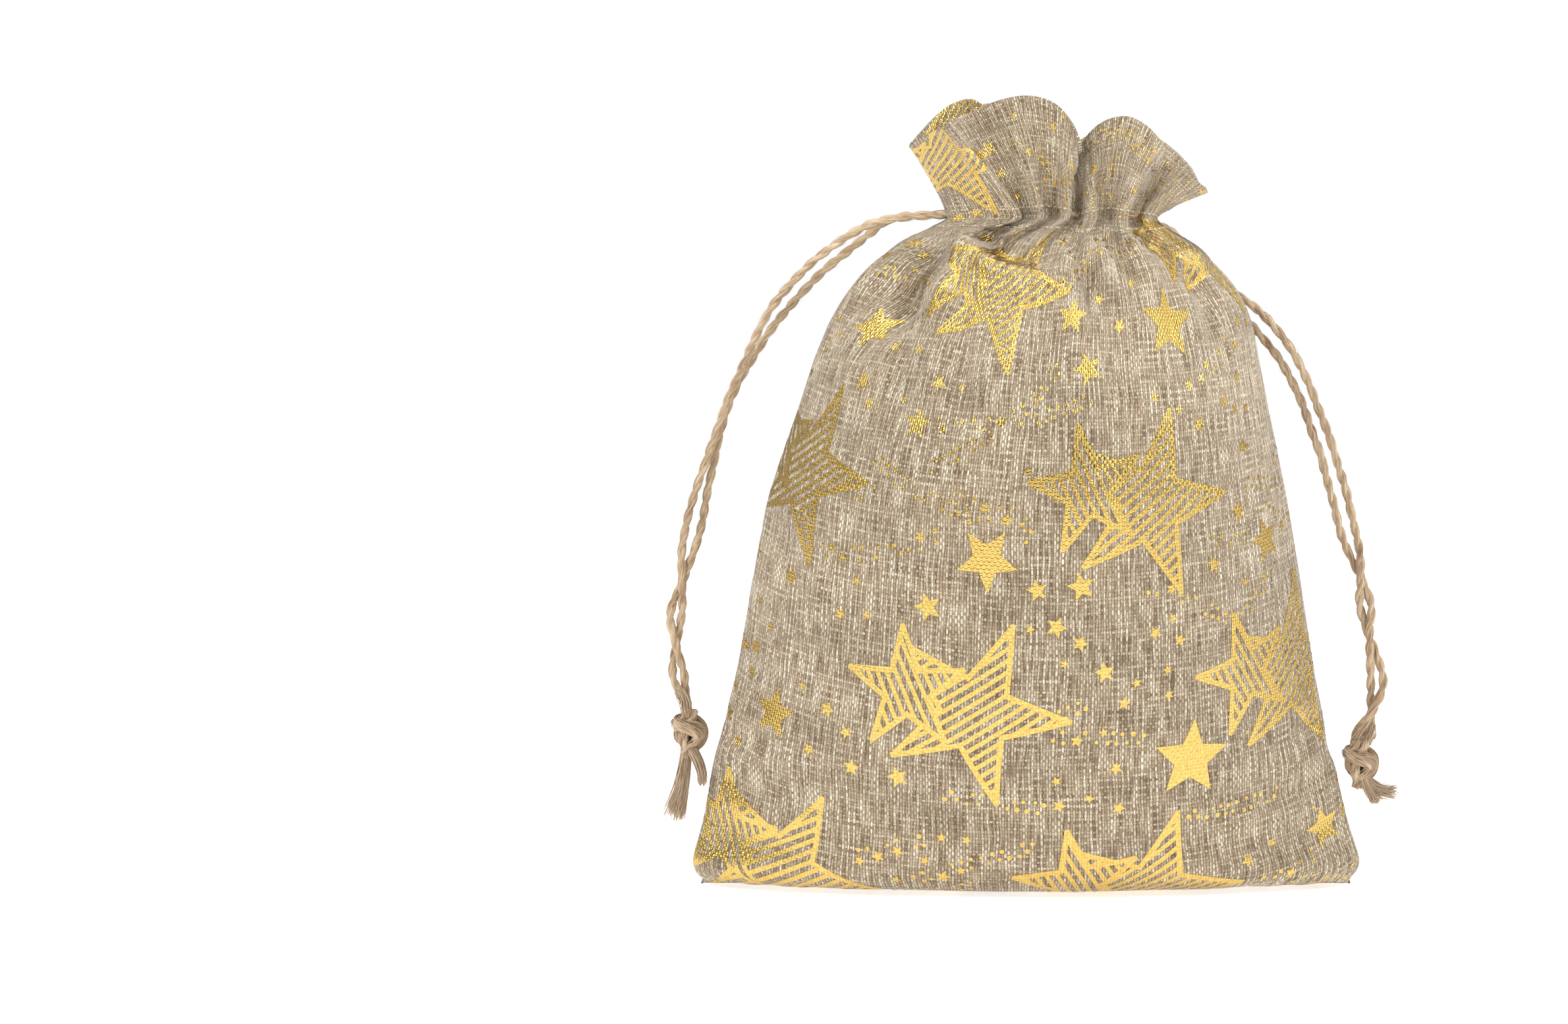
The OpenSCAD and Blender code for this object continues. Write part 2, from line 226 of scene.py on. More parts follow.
def shaped_panel(body, neck, hem):
    """A whole panel: the body drawn in to the gathered neck, then the header up to its edge."""
    columns = body.shape[1]
    neck3 = np.c_[neck, np.full(columns, NECK_Z)]
    pull = np.clip((body[:, :, 2:] - GATHER_FROM) / (NECK_Z - GATHER_FROM), 0, 1) ** GATHER_POWER
    body = body.copy()
    body[:, :, :2] += pull * (neck - body[-1, :, :2])
    body[-1] = neck3
    header = []
    for row in range(1, HEADER_ROWS + 1):
        up = row / HEADER_ROWS
        lean = up**HEADER_LEAN
        points = neck3 * (1 - lean) + hem * lean
        points[:, 2] = neck3[:, 2] * (1 - up) + hem[:, 2] * up
        header.append(points)
    return np.concatenate([body, np.array(header)])


def wanted_shape():
    """The whole sack as a closed grid of rows and columns: the front panel, then the back."""
    u = np.linspace(0, PANEL_W, COLUMNS + 1)
    front = filled_front()
    back = front[:, ::-1] * np.array([1, -1, 1])
    front = shaped_panel(front, by_first(FRONT_NECK, u), by_first(FRONT_HEM, u))
    back = shaped_panel(back, back_neck(COLUMNS + 1), by_first(BACK_HEM, u))
    return np.concatenate([front[:, :-1], back[:, :-1]], axis=1)


def flat_rows():
    """Height up the flat cloth of each row of the grid."""
    body = np.linspace(0, BODY_H, BODY_ROWS + 1)
    return np.r_[body, BODY_H + np.arange(1, HEADER_ROWS + 1) * HEADER_H / HEADER_ROWS]


# ---------------------------------------------------------------- cloth simulation
def placed(name, data):
    """A new object in the scene."""
    made = bpy.data.objects.new(name, data)
    bpy.context.scene.collection.objects.link(made)
    return made


def ground_square(name, reach):
    """A flat square on the ground, as a mesh."""
    mesh = bpy.data.meshes.new(name)
    corners = [(x * reach, y * reach, 0) for x, y in ((-1, -1), (1, -1), (1, 1), (-1, 1))]
    mesh.from_pydata(corners, [], [(0, 1, 2, 3)])
    return mesh


# The cloth is simulated at ten times its real size, so that its folds can lie less than 1 mm apart
SIM_SCALE = 0.01
SIM_FRAMES = 34
SIM = {
    "quality": 7, "mass": 0.25, "air_damping": 2.0, "tension_stiffness": 20, "compression_stiffness": 20,
    "shear_stiffness": 6, "bending_stiffness": 4.0, "tension_damping": 8, "compression_damping": 8,
    "shear_damping": 8, "bending_damping": 1, "pin_stiffness": 5, "use_pressure": True,
    "uniform_pressure_force": 5.0,
}
SIM_TOUCH = {
    "use_collision": True, "distance_min": 0.006, "use_self_collision": True, "self_distance_min": 0.007,
    "collision_quality": 2,
}
HEADER_HOLD = 0.75
HEM_HOLD = 0.9
SHOULDER_HOLD = 0.5
SEAM_HOLD = 0.35
LOW_SEAM_HOLD = 0.7
BODY_HOLD = 0.02
SHOULDER_ROWS = 5
LOW_SEAM_Z = 30
HIGH_SEAM_Z = 135


def hold_of(row, column, z):
    """How firmly a point of the cloth keeps its wanted place, from 0 to 1."""
    last = BODY_ROWS + HEADER_ROWS
    if row == 0 or abs(row - BODY_ROWS) <= 1:
        return 1.0
    if row > BODY_ROWS:
        return HEM_HOLD if row >= last - 1 else HEADER_HOLD
    if row >= BODY_ROWS - SHOULDER_ROWS:
        return SHOULDER_HOLD
    if min(column, abs(column - COLUMNS), 2 * COLUMNS - column) <= 1 and z < HIGH_SEAM_Z:
        return SEAM_HOLD if z > LOW_SEAM_Z else LOW_SEAM_HOLD
    return BODY_HOLD


def simulate(shape):
    """Inflates the flat cloth inside its wanted shape, so that it takes its own folds."""
    rows, columns = shape.shape[:2]
    u = np.r_[np.arange(COLUMNS), COLUMNS - np.arange(COLUMNS)] * PANEL_W / COLUMNS
    flat = np.zeros_like(shape)
    flat[:, :, 0] = u
    flat[:, :, 2] = flat_rows()[:, None]
    low = np.arange(rows - 1)[:, None] * columns
    here = np.arange(columns)
    after = (here + 1) % columns
    faces = np.stack([low + here, low + after, low + columns + after, low + columns + here], axis=2)
    mesh = bpy.data.meshes.new("sim_cloth")
    mesh.from_pydata((shape.reshape(-1, 3) * SIM_SCALE).tolist(), [], faces.reshape(-1, 4).tolist())
    sheet = placed("sim_cloth", mesh)
    sheet.shape_key_add(name="Basis")
    key = sheet.shape_key_add(name="flat")
    key.data.foreach_set("co", (flat.reshape(-1, 3) * SIM_SCALE).astype(np.float32).ravel())
    key.value = 0
    hold = sheet.vertex_groups.new(name="hold")
    fill = sheet.vertex_groups.new(name="fill")
    for j in range(rows):
        for i in range(columns):
            hold.add([j * columns + i], hold_of(j, i, shape[j, i, 2]), "REPLACE")
            if j < BODY_ROWS - 2:
                fill.add([j * columns + i], 1.0, "REPLACE")
    modifier = sheet.modifiers.new("Cloth", "CLOTH")
    for name, value in SIM.items():
        setattr(modifier.settings, name, value)
    modifier.settings.vertex_group_mass = "hold"
    modifier.settings.vertex_group_pressure = "fill"
    modifier.settings.rest_shape_key = key
    for name, value in SIM_TOUCH.items():
        setattr(modifier.collision_settings, name, value)
    floor = placed("sim_floor", ground_square("sim_floor", 3))
    floor.modifiers.new("Collision", "COLLISION")
    floor.collision.thickness_outer = 0.005
    modifier.point_cache.frame_start = 1
    modifier.point_cache.frame_end = SIM_FRAMES
    scene = bpy.context.scene
    scene.frame_start, scene.frame_end = 1, SIM_FRAMES
    for step in range(1, SIM_FRAMES + 1):
        scene.frame_set(step)
    evaluated = sheet.evaluated_get(bpy.context.evaluated_depsgraph_get())
    found = np.empty(rows * columns * 3, np.float32)
    evaluated.data.vertices.foreach_get("co", found)
    for thing in (sheet, floor):
        data = thing.data
        bpy.data.objects.remove(thing)
        bpy.data.meshes.remove(data)
    scene.frame_set(1)
    return found.reshape(rows, columns, 3).astype(float) / SIM_SCALE


def between_rows(grid):
    """Twice as many rows, on smooth curves."""
    padded = np.concatenate([2 * grid[:1] - grid[1:2], grid, 2 * grid[-1:] - grid[-2:-1]])
    middle = (9 * (padded[1:-2] + padded[2:-1]) - padded[:-3] - padded[3:]) / 16
    made = np.empty((2 * len(grid) - 1, *grid.shape[1:]))
    made[0::2] = grid
    made[1::2] = middle
    return made


def between_columns(grid):
    """Twice as many columns round the closed loop, on smooth curves."""
    before, after, far = np.roll(grid, 1, 1), np.roll(grid, -1, 1), np.roll(grid, -2, 1)
    middle = (9 * (grid + after) - before - far) / 16
    made = np.empty((grid.shape[0], 2 * grid.shape[1], 3))
    made[:, 0::2] = grid
    made[:, 1::2] = middle
    return made


def normals_of(grid):
    """Unit normals of a closed grid, pointing out of the sack."""
    across = np.roll(grid, -1, 1) - np.roll(grid, 1, 1)
    upwards = np.gradient(grid, axis=0)
    normal = np.cross(across, upwards)
    return normal / np.maximum(np.linalg.norm(normal, axis=2, keepdims=True), 1e-9)


def distance_to_line(points, line):
    """Distance of each (x, z) from a line of points, and the share of the way along it."""
    line = catmull(line, 6)
    best = np.full(len(points), 1e9)
    share = np.zeros(len(points))
    for i in range(len(line) - 1):
        a, d = line[i], line[i + 1] - line[i]
        t = np.clip(((points - a) @ d) / max(d @ d, 1e-9), 0, 1)
        far = np.linalg.norm(points - a - t[:, None] * d, axis=1)
        near = far < best
        best[near] = far[near]
        share[near] = (i + t[near]) / (len(line) - 1)
    return best, share


def sculpt_folds(grid):
    """Presses the main creases into the front and lifts the puffs between them, square to its broad shape."""
    broad = smooth(grid.copy(), BROAD_PASSES, slice(2, -2))
    front = np.zeros(grid.shape[:2], bool)
    front[4 : REFINED * BODY_ROWS - 1, 3 : REFINED * COLUMNS - 2] = True
    points = grid[front][:, [0, 2]]
    move = np.zeros(len(points))
    for depth, width, line in FOLDS:
        far, share = distance_to_line(points, np.array(line, float))
        ends = smoothstep(share / FOLD_START) * smoothstep((1 - share) / FOLD_END)
        move += depth * np.exp(-((far / width) ** 2)) * ends
    moved = grid.copy()
    moved[front] += normals_of(broad)[front] * move[:, None]
    return moved


def smooth(grid, passes, rows):
    """Moves each point of some rows halfway to the middle of its neighbours, several times over."""
    for _ in range(passes):
        near = (np.roll(grid, 1, 1) + np.roll(grid, -1, 1)) / 2
        up = near.copy()
        up[1:-1] = (grid[:-2] + grid[2:]) / 2
        grid[rows] = grid[rows] * 0.5 + (near[rows] + up[rows]) / 2 * 0.5
    return grid


def cloth_grid():
    """The finished outer surface of the cloth, in rows and columns."""
    shape = wanted_shape()
    shape = simulate(shape)
    fine = between_columns(between_rows(shape))
    shoulder = slice(REFINED * (BODY_ROWS - 14), REFINED * BODY_ROWS - 3)
    fine = smooth(fine, SHOULDER_PASSES, shoulder)
    fine = sculpt_folds(fine)
    fine = smooth(fine, LAST_PASSES, slice(2, -1))
    fine[:, :, 2] = np.maximum(fine[:, :, 2], GROUND_GAP)
    return fine


cloth = cloth_grid()
cloth_normal = normals_of(cloth)
FINE = REFINED * COLUMNS
U = np.linspace(0, PANEL_W, FINE + 1)
V = between_rows(flat_rows()[:, None])[:, 0]
EDGE_V = BODY_H + HEADER_H


# ---------------------------------------------------------------- materials
def add_node(tree, kind, inputs=None, **settings):
    """A shader node with its settings, and its inputs set or linked."""
    made = tree.nodes.new(kind)
    for name, value in settings.items():
        setattr(made, name, value)
    for key, value in (inputs or {}).items():
        if isinstance(value, bpy.types.NodeSocket):
            tree.links.new(value, made.inputs[key])
        else:
            made.inputs[key].default_value = value
    return made


def maths(tree, operation, a, b=0.0, c=0.0):
    """The result of a maths node."""
    return add_node(tree, "ShaderNodeMath", {0: a, 1: b, 2: c}, operation=operation).outputs[0]


def mixed(tree, share, a, b, blend="MIX"):
    """Colour a, turning into b as share goes from 0 to 1."""
    made = add_node(tree, "ShaderNodeMix", {0: share, 6: a, 7: b}, data_type="RGBA", blend_type=blend)
    return made.outputs[2]


def ramp(tree, value, stops):
    """A colour for each value, from stops of (place, colour)."""
    made = add_node(tree, "ShaderNodeValToRGB", {0: value})
    elements = made.color_ramp.elements
    while len(elements) < len(stops):
        elements.new(0.5)
    for element, (place, colour) in zip(elements, stops):
        element.position = place
        element.color = colour
    return made.outputs[0]


def stretched_noise(tree, u, v, across, along, detail=2.0, seed=0.0):
    """Noise that changes across times per millimetre in u, and along times in v."""
    at = add_node(
        tree, "ShaderNodeCombineXYZ",
        {0: maths(tree, "MULTIPLY", u, across), 1: maths(tree, "MULTIPLY", v, along), 2: seed},
    ).outputs[0]
    return add_node(tree, "ShaderNodeTexNoise", {"Vector": at, "Scale": 1.0, "Detail": detail}).outputs[0]


def srgb(red, green, blue):
    """A colour from its 0 to 255 screen values."""
    return tuple(((c / 255 + 0.055) / 1.055) ** 2.4 for c in (red, green, blue)) + (1.0,)


def new_material(name):
    """A material with its node tree and its shader."""
    made = bpy.data.materials.new(name)
    made.use_nodes = True
    return made, made.node_tree, made.node_tree.nodes["Principled BSDF"]


def flat_uv(tree):
    """The u and v of a piece's flat layout, in millimetres."""
    place = add_node(tree, "ShaderNodeUVMap", uv_map="flat").outputs[0]
    parts = add_node(tree, "ShaderNodeSeparateXYZ", {0: place})
    return parts.outputs[0], parts.outputs[1]


def add_bump(tree, shader, height, strength, distance):
    """Bumps a shader's surface by a height. The distance is in metres."""
    bump = add_node(tree, "ShaderNodeBump", {"Height": height, "Strength": strength, "Distance": distance})
    tree.links.new(bump.outputs[0], shader.inputs["Normal"])


def wavering_uv(tree):
    """The u and v of the flat cloth, with a slight waver so that threads aren't ruled lines."""
    u, v = flat_uv(tree)
    waver_u = maths(tree, "MULTIPLY_ADD", stretched_noise(tree, u, v, 0.25, 0.12), 0.9, -0.45)
    waver_v = maths(tree, "MULTIPLY_ADD", stretched_noise(tree, u, v, 0.12, 0.25, seed=7.0), 0.9, -0.45)
    return maths(tree, "ADD", u, waver_u), maths(tree, "ADD", v, waver_v)


WARP_PITCH = 0.63
WEFT_PITCH = 0.8


def plain_weave(tree, u, v):
    """Height of a plain weave, how far its warp thread is on top, and how slubby its warp and weft are."""
    a = maths(tree, "SINE", maths(tree, "MULTIPLY", u, math.pi / WARP_PITCH))
    b = maths(tree, "SINE", maths(tree, "MULTIPLY", v, math.pi / WEFT_PITCH))
    slub_warp = stretched_noise(tree, u, v, 1 / WARP_PITCH, 0.13, seed=3.0)
    slub_weft = stretched_noise(tree, u, v, 0.16, 1 / WEFT_PITCH, seed=5.0)
    lean = maths(tree, "MULTIPLY_ADD", maths(tree, "SUBTRACT", slub_warp, slub_weft), 1.0, 0.82)
    crossing = maths(tree, "MULTIPLY", a, b)
    over = add_node(tree, "ShaderNodeClamp", {0: maths(tree, "MULTIPLY_ADD", crossing, 1.5, lean)}).outputs[0]
    warp = maths(tree, "MULTIPLY", maths(tree, "ABSOLUTE", a), over)
    weft = maths(tree, "MULTIPLY", maths(tree, "ABSOLUTE", b), maths(tree, "SUBTRACT", 1.0, over))
    weft = maths(tree, "MULTIPLY", weft, 0.72)
    return maths(tree, "ADD", warp, weft), over, slub_warp, slub_weft


def linen_material():
    """Undyed slubby threads in a plain weave, with painted shade in the gaps between them."""
    made, tree, shader = new_material("linen_cloth")
    u, v = wavering_uv(tree)
    height, over, slub_warp, slub_weft = plain_weave(tree, u, v)
    quiet_weft = maths(tree, "MULTIPLY_ADD", slub_weft, 0.7, 0.13)
    tones = {0: over, 2: quiet_weft, 3: slub_warp}
    thread = ramp(
        tree, add_node(tree, "ShaderNodeMix", tones, data_type="FLOAT").outputs[0],
        [(0.33, srgb(114, 94, 68)), (0.46, srgb(174, 155, 127)), (0.555, srgb(212, 197, 171)),
         (0.67, srgb(246, 237, 217))],
    )
    # Painted shade: the colour turns dark brown where the weave is low, in the gaps between threads.
    gap_shade_mask = maths(tree, "SMOOTH_MIN", maths(tree, "MULTIPLY", height, 1.35), 1.0, 0.1)
    colour = mixed(tree, gap_shade_mask, srgb(74, 57, 35), thread)
    patches = stretched_noise(tree, u, v, 0.04, 0.09, detail=4.0, seed=11.0)
    shade = ramp(tree, patches, [(0.3, (0.79, 0.77, 0.73, 1)), (0.7, (1.04, 1.02, 0.985, 1))])
    colour = mixed(tree, 1.0, colour, shade, blend="MULTIPLY")
    tree.links.new(colour, shader.inputs["Base Color"])
    fibres = stretched_noise(tree, u, v, 5.0, 5.0, detail=3.0, seed=2.0)
    add_bump(tree, shader, maths(tree, "MULTIPLY_ADD", fibres, 0.35, height), 0.9, 0.00016)
    shader.inputs["Roughness"].default_value = 0.82
    shader.inputs["Sheen Weight"].default_value = 0.25
    shader.inputs["Sheen Roughness"].default_value = 0.5
    return made


def foil_material():
    """Thin gold film that has taken the weave's relief, duller where it is worn, with painted shade in the
    weave's hollows.
    """
    made, tree, shader = new_material("gold_foil")
    u, v = wavering_uv(tree)
    height = plain_weave(tree, u, v)[0]
    wear = stretched_noise(tree, u, v, 1.3, 1.3, detail=3.0, seed=4.0)
    tint = ramp(
        tree, wear, [(0.32, srgb(200, 164, 86)), (0.5, srgb(214, 182, 104)), (0.72, srgb(222, 194, 118))]
    )
    # Painted shade: the gold turns darker where the weave is low, in its hollows.
    hollow_shade_mask = maths(tree, "SMOOTH_MIN", maths(tree, "MULTIPLY", height, 3.2), 1.0, 0.1)
    tree.links.new(mixed(tree, hollow_shade_mask, srgb(160, 120, 50), tint), shader.inputs["Base Color"])
    glitter = add_node(
        tree, "ShaderNodeTexVoronoi",
        {"Vector": add_node(tree, "ShaderNodeCombineXYZ", {0: u, 1: v}).outputs[0], "Scale": 2.2},
    ).outputs["Color"]
    add_bump(tree, shader, maths(tree, "MULTIPLY_ADD", glitter, 0.2, height), 0.75, 0.00013)
    rough = add_node(tree, "ShaderNodeMapRange", {0: wear, 1: 0.3, 2: 0.7, 3: 0.14, 4: 0.28})
    tree.links.new(rough.outputs[0], shader.inputs["Roughness"])
    shader.inputs["Metallic"].default_value = 1.0
    return made


def jute_material(name, dark, middle, light):
    """Coarse fibres that run along the cord, streaked and blotched."""
    made, tree, shader = new_material(name)
    around, along = flat_uv(tree)
    streaks = stretched_noise(tree, around, along, 2.2, 0.28, detail=4.0)
    blotches = stretched_noise(tree, around, along, 0.1, 0.09, detail=2.0, seed=9.0)
    tone = maths(tree, "MULTIPLY_ADD", maths(tree, "SUBTRACT", blotches, 0.5), 0.6, streaks)
    colour = ramp(tree, tone, [(0.28, dark), (0.48, middle), (0.72, light)])
    tree.links.new(colour, shader.inputs["Base Color"])
    add_bump(tree, shader, streaks, 0.8, 0.0003)
    shader.inputs["Roughness"].default_value = 0.8
    shader.inputs["Sheen Weight"].default_value = 0.35
    return made


def thread_material():
    """Fine sewing thread, twisted, with painted shade in the grooves of its twist."""
    made, tree, shader = new_material("sewing_thread")
    around, along = flat_uv(tree)
    twist = maths(tree, "SINE", maths(tree, "ADD", maths(tree, "MULTIPLY", along, 9.0), around))
    # Painted shade: the colour is darker where the twist's bump is low, in its grooves.
    tone = maths(tree, "MULTIPLY_ADD", twist, 0.5, 0.5)
    colour = ramp(tree, tone, [(0, srgb(165, 150, 120)), (1, srgb(212, 200, 172))])
    tree.links.new(colour, shader.inputs["Base Color"])
    add_bump(tree, shader, twist, 0.6, 0.00005)
    shader.inputs["Roughness"].default_value = 0.55
    return made


linen = linen_material()
foil = foil_material()
jute = jute_material("jute_twine", srgb(124, 96, 68), srgb(184, 156, 122), srgb(216, 196, 162))
jute_fibre = jute_material("jute_fibre", srgb(134, 104, 76), srgb(192, 164, 130), srgb(230, 210, 178))
thread = thread_material()


# ---------------------------------------------------------------- meshes
def make_piece(name, points, faces, material, body, flat):
    """A smooth mesh piece from points in millimetres, riding on a body if one is given."""
    mesh = bpy.data.meshes.new(name)
    mesh.from_pydata((np.asarray(points, float) * MM).tolist(), [], faces)
    mesh.update()
    mesh.polygons.foreach_set("use_smooth", np.ones(len(mesh.polygons), bool))
    layer = mesh.uv_layers.new(name="flat")
    corners = np.empty(len(mesh.loops), np.int32)
    mesh.loops.foreach_get("vertex_index", corners)
    layer.data.foreach_set("uv", np.asarray(flat, np.float32)[corners].ravel())
    mesh.materials.append(material)
    piece = placed(name, mesh)
    if body:
        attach(piece, body)
    return piece


def thick_sheet(outer, inner):
    """Triangles of a closed sheet between two grids, numbered row by row, outer first."""
    rows, columns = outer.shape[:2]
    n = rows * columns
    a = (np.arange(rows - 1)[:, None] * columns + np.arange(columns - 1)[None]).ravel()
    front = np.concatenate([np.c_[a, a + 1, a + columns + 1], np.c_[a, a + columns + 1, a + columns]])
    back = front[:, ::-1] + n
    low = np.arange(columns - 1)
    high = low + (rows - 1) * columns
    first = np.arange(rows - 1) * columns
    last = first + columns - 1
    rims = np.concatenate([
        np.c_[low + 1, low, low + n], np.c_[low + 1, low + n, low + n + 1],
        np.c_[high, high + 1, high + n + 1], np.c_[high, high + n + 1, high + n],
        np.c_[first, first + columns, first + columns + n], np.c_[first, first + columns + n, first + n],
        np.c_[last + columns, last, last + n], np.c_[last + columns, last + n, last + columns + n],
    ])
    points = np.concatenate([outer.reshape(-1, 3), inner.reshape(-1, 3)])
    return points, np.concatenate([front, back, rims]).tolist()


# The slit in each side of the casing: half its height, how fast it opens, half its width, its columns
SLIT_REACH = CASING_HALF + 1.2
SLIT_EASE = 1.6
SLIT_HALF = 2.5
SLIT_COLUMNS = 6
# The panels draw in at a seam, and leave a hairline between them
GROOVE = 0.5
SEAM_GAP = 0.1


def slit_of(rows_v):
    """How open the side of the casing is at each height, where the drawstrings come out."""
    return smoothstep((SLIT_REACH - np.abs(rows_v - BODY_H)) / SLIT_EASE)


def panel_grid(side):
    """One panel's outer surface and its normals, from its first seam to its second."""
    take = np.arange(FINE + 1) if side == "front" else np.arange(FINE, 2 * FINE + 1) % (2 * FINE)
    grid, normal = cloth[:, take].copy(), cloth_normal[:, take].copy()
    outward = -1 if side == "front" else 1
    opened = slit_of(V)
    for end in (0, FINE):
        inward = 1 if grid[BODY_ROWS, end, 0] < 0 else -1
        grid[:, end, 0] += inward * GROOVE * (1 - opened)
        grid[V < BODY_H, end, 1] += outward * SEAM_GAP
        for step in range(SLIT_COLUMNS):
            grid[:, abs(end - step), 1] += outward * SLIT_HALF * opened * (1 - step / SLIT_COLUMNS) ** 1.5
    return grid, normal


PANELS = {side: panel_grid(side) for side in ("front", "back")}
FLAT = np.stack(np.meshgrid(U, V), axis=2)
PANEL_START = {"front": 0.0, "back": PANEL_W}


def flat_of(side, rows=slice(None)):
    """The flat places of a panel's outer and inner points."""
    flat = FLAT[rows] + np.array([PANEL_START[side], 0])
    return np.concatenate([flat.reshape(-1, 2)] * 2)


def cloth_piece(side):
    """A panel's single thickness of cloth, from the bottom seam to the top edge."""
    grid, normal = PANELS[side]
    inner = grid - normal * CLOTH_T
    points, faces = thick_sheet(grid, inner)
    piece = make_piece(f"{side}_cloth", points, faces, linen, "sack", flat_of(side))
    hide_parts(f"{side}_panel")
    return piece


LINING_FROM = BODY_H - CASING_HALF - 0.8


def lining_grids(side):
    """The outer and inner faces of the turned-in header: a tunnel for the cords, then flat on the cloth."""
    grid, normal = PANELS[side]
    rows = V >= LINING_FROM
    tunnel = smoothstep((CASING_HALF - 0.4 - np.abs(V[rows] - BODY_H)) / 1.2)[:, None]
    made = []
    for depth in (CLOTH_T + LINING_GAP, 2 * CLOTH_T + LINING_GAP):
        face = grid[rows] - normal[rows] * depth
        reach = MOUTH_HALF if depth > CLOTH_T * 1.5 else MOUTH_HALF + CLOTH_T
        flat_y = np.clip(face[:, :, 1], -reach, reach)
        face[:, :, 1] = face[:, :, 1] * (1 - tunnel) + flat_y * tunnel
        made.append(face)
    return made[0], made[1], rows


def lining_piece(side):
    """The turned-in header, which also closes the casing."""
    outer, inner, rows = lining_grids(side)
    points, faces = thick_sheet(outer, inner)
    piece = make_piece(f"{side}_header_lining", points, faces, linen, "sack", flat_of(side, rows))
    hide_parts(f"{side}_casing", f"{side}_ruffle")
    return piece


for side in ("front", "back"):
    cloth_piece(side)
    lining_piece(side)


def seam_strip(name, edge, inward, node):
    """A seam allowance: two plies of cloth standing inwards from a seam, as a closed strip."""
    edge = np.asarray(edge, float)
    across = edge + np.asarray(inward, float)
    half = np.array([0, SEAM_T / 2, 0])
    outer = np.stack([edge - half, (edge + across) / 2 - half, across - half], axis=1)
    inner = outer + 2 * half
    points, faces = thick_sheet(outer, inner)
    reach = np.arange(len(edge)) * BODY_H / len(edge)
    flat = np.stack(np.meshgrid([0, SEAM_W / 2, SEAM_W], reach), axis=2).reshape(-1, 2)
    piece = make_piece(name, points, faces, linen, "sack", np.concatenate([flat, flat]))
    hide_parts(node)


def side_seam_piece(side, column, inward):
    """A side seam's allowance, straighter than the seam, and narrower towards the neck."""
    rows = np.arange(8, REFINED * BODY_ROWS - 6, 2)
    edge = cloth[rows, column] + np.array([inward * (GROOVE + 0.3), 0, 0])
    edge[:, 1] *= 0.3
    width = SEAM_W * (1 - 0.6 * smoothstep((edge[:, 2] - HIGH_SEAM_Z) / 12))
    reach = np.c_[inward * width, np.zeros(len(rows)), np.zeros(len(rows))]
    seam_strip(f"{side}_seam_allowance", edge, reach, f"{side}_side_seam")


def bottom_seam_piece():
    """The bottom seam's allowance, which stands up inside the sack."""
    columns = np.arange(4, FINE - 3, 2)
    edge = cloth[0, columns].copy()
    edge[:, 1] = 0
    edge[:, 2] = CLOTH_T + 0.5
    reach = np.tile([0, 0, SEAM_W], (len(columns), 1))
    seam_strip("bottom_seam_allowance", edge, reach, "bottom_seam")


side_seam_piece("left", 0, 1)
side_seam_piece("right", FINE, -1)
bottom_seam_piece()


# ---------------------------------------------------------------- tubes
def ring_frames(path):
    """Two directions square to a path at each point, carried along it without twist."""
    ahead = np.gradient(path, axis=0)
    ahead /= np.linalg.norm(ahead, axis=1, keepdims=True)
    side = np.cross(ahead[0], [0, 1, 0])
    if np.linalg.norm(side) < 0.1:
        side = np.cross(ahead[0], [1, 0, 0])
    sides = []
    for direction in ahead:
        side = side - direction * (side @ direction)
        side = side / np.linalg.norm(side)
        sides.append(side)
    sides = np.array(sides)
    return sides, np.cross(ahead, sides)


def tube(path, radii, count, lobes=0, depth=0.0, turn=0.0, shift=0.0):
    """Points, faces and flat places of a closed tube, its section cut into lobes that turn along it."""
    a, b = ring_frames(path)
    reach = reach_along(path)
    angle = np.arange(count) * 2 * math.pi / count
    radii = np.broadcast_to(np.asarray(radii, float), (len(path),))
    around = radii[:, None] * (1 + depth * np.cos(lobes * angle[None] + turn * reach[:, None]))
    rings = path[:, None] + around[:, :, None] * (
        np.cos(angle)[None, :, None] * a[:, None] + np.sin(angle)[None, :, None] * b[:, None]
    )
    here = np.arange(count)
    after = (here + 1) % count
    base = np.arange(len(path) - 1)[:, None] * count
    sides = np.stack([base + here, base + after, base + count + after, base + count + here], axis=2)
    faces = sides.reshape(-1, 4).tolist()
    faces.append(list(range(count))[::-1])
    faces.append(list(range((len(path) - 1) * count, len(path) * count)))
    across = angle[None] * radii[:, None] * 1.5 + shift
    flat = np.stack(np.broadcast_arrays(across, reach[:, None]), axis=2)
    return rings.reshape(-1, 3), faces, flat.reshape(-1, 2)


def joined(parts):
    """Several (points, faces, flat places) as one mesh."""
    points, faces, flats, base = [], [], [], 0
    for p, f, q in parts:
        points.append(p)
        faces += [[base + i for i in face] for face in f]
        flats.append(q)
        base += len(p)
    return np.concatenate(points), faces, np.concatenate(flats)


# ---------------------------------------------------------------- stitches
STITCH = 2.3
STITCH_PITCH = 3.1
STITCH_DIP = 0.35
STITCH_INSET = 0.4
THREAD_R = 0.2


def on_grid(corners, heights, u, v):
    """Points on the triangles of a panel's grid, at flat places u, v."""
    column = np.clip(np.asarray(u, float) / PANEL_W * FINE, 0, FINE - 1e-6)
    row = np.clip(np.interp(v, heights, np.arange(len(heights))), 0, len(heights) - 1 - 1e-6)
    i, j = column.astype(int), row.astype(int)
    s, t = (column - i)[:, None], (row - j)[:, None]
    near, far = np.minimum(s, t), np.maximum(s, t)
    side = np.where(s > t, corners[j, i + 1], corners[j + 1, i])
    return corners[j, i] * (1 - far) + side * (far - near) + corners[j + 1, i + 1] * near


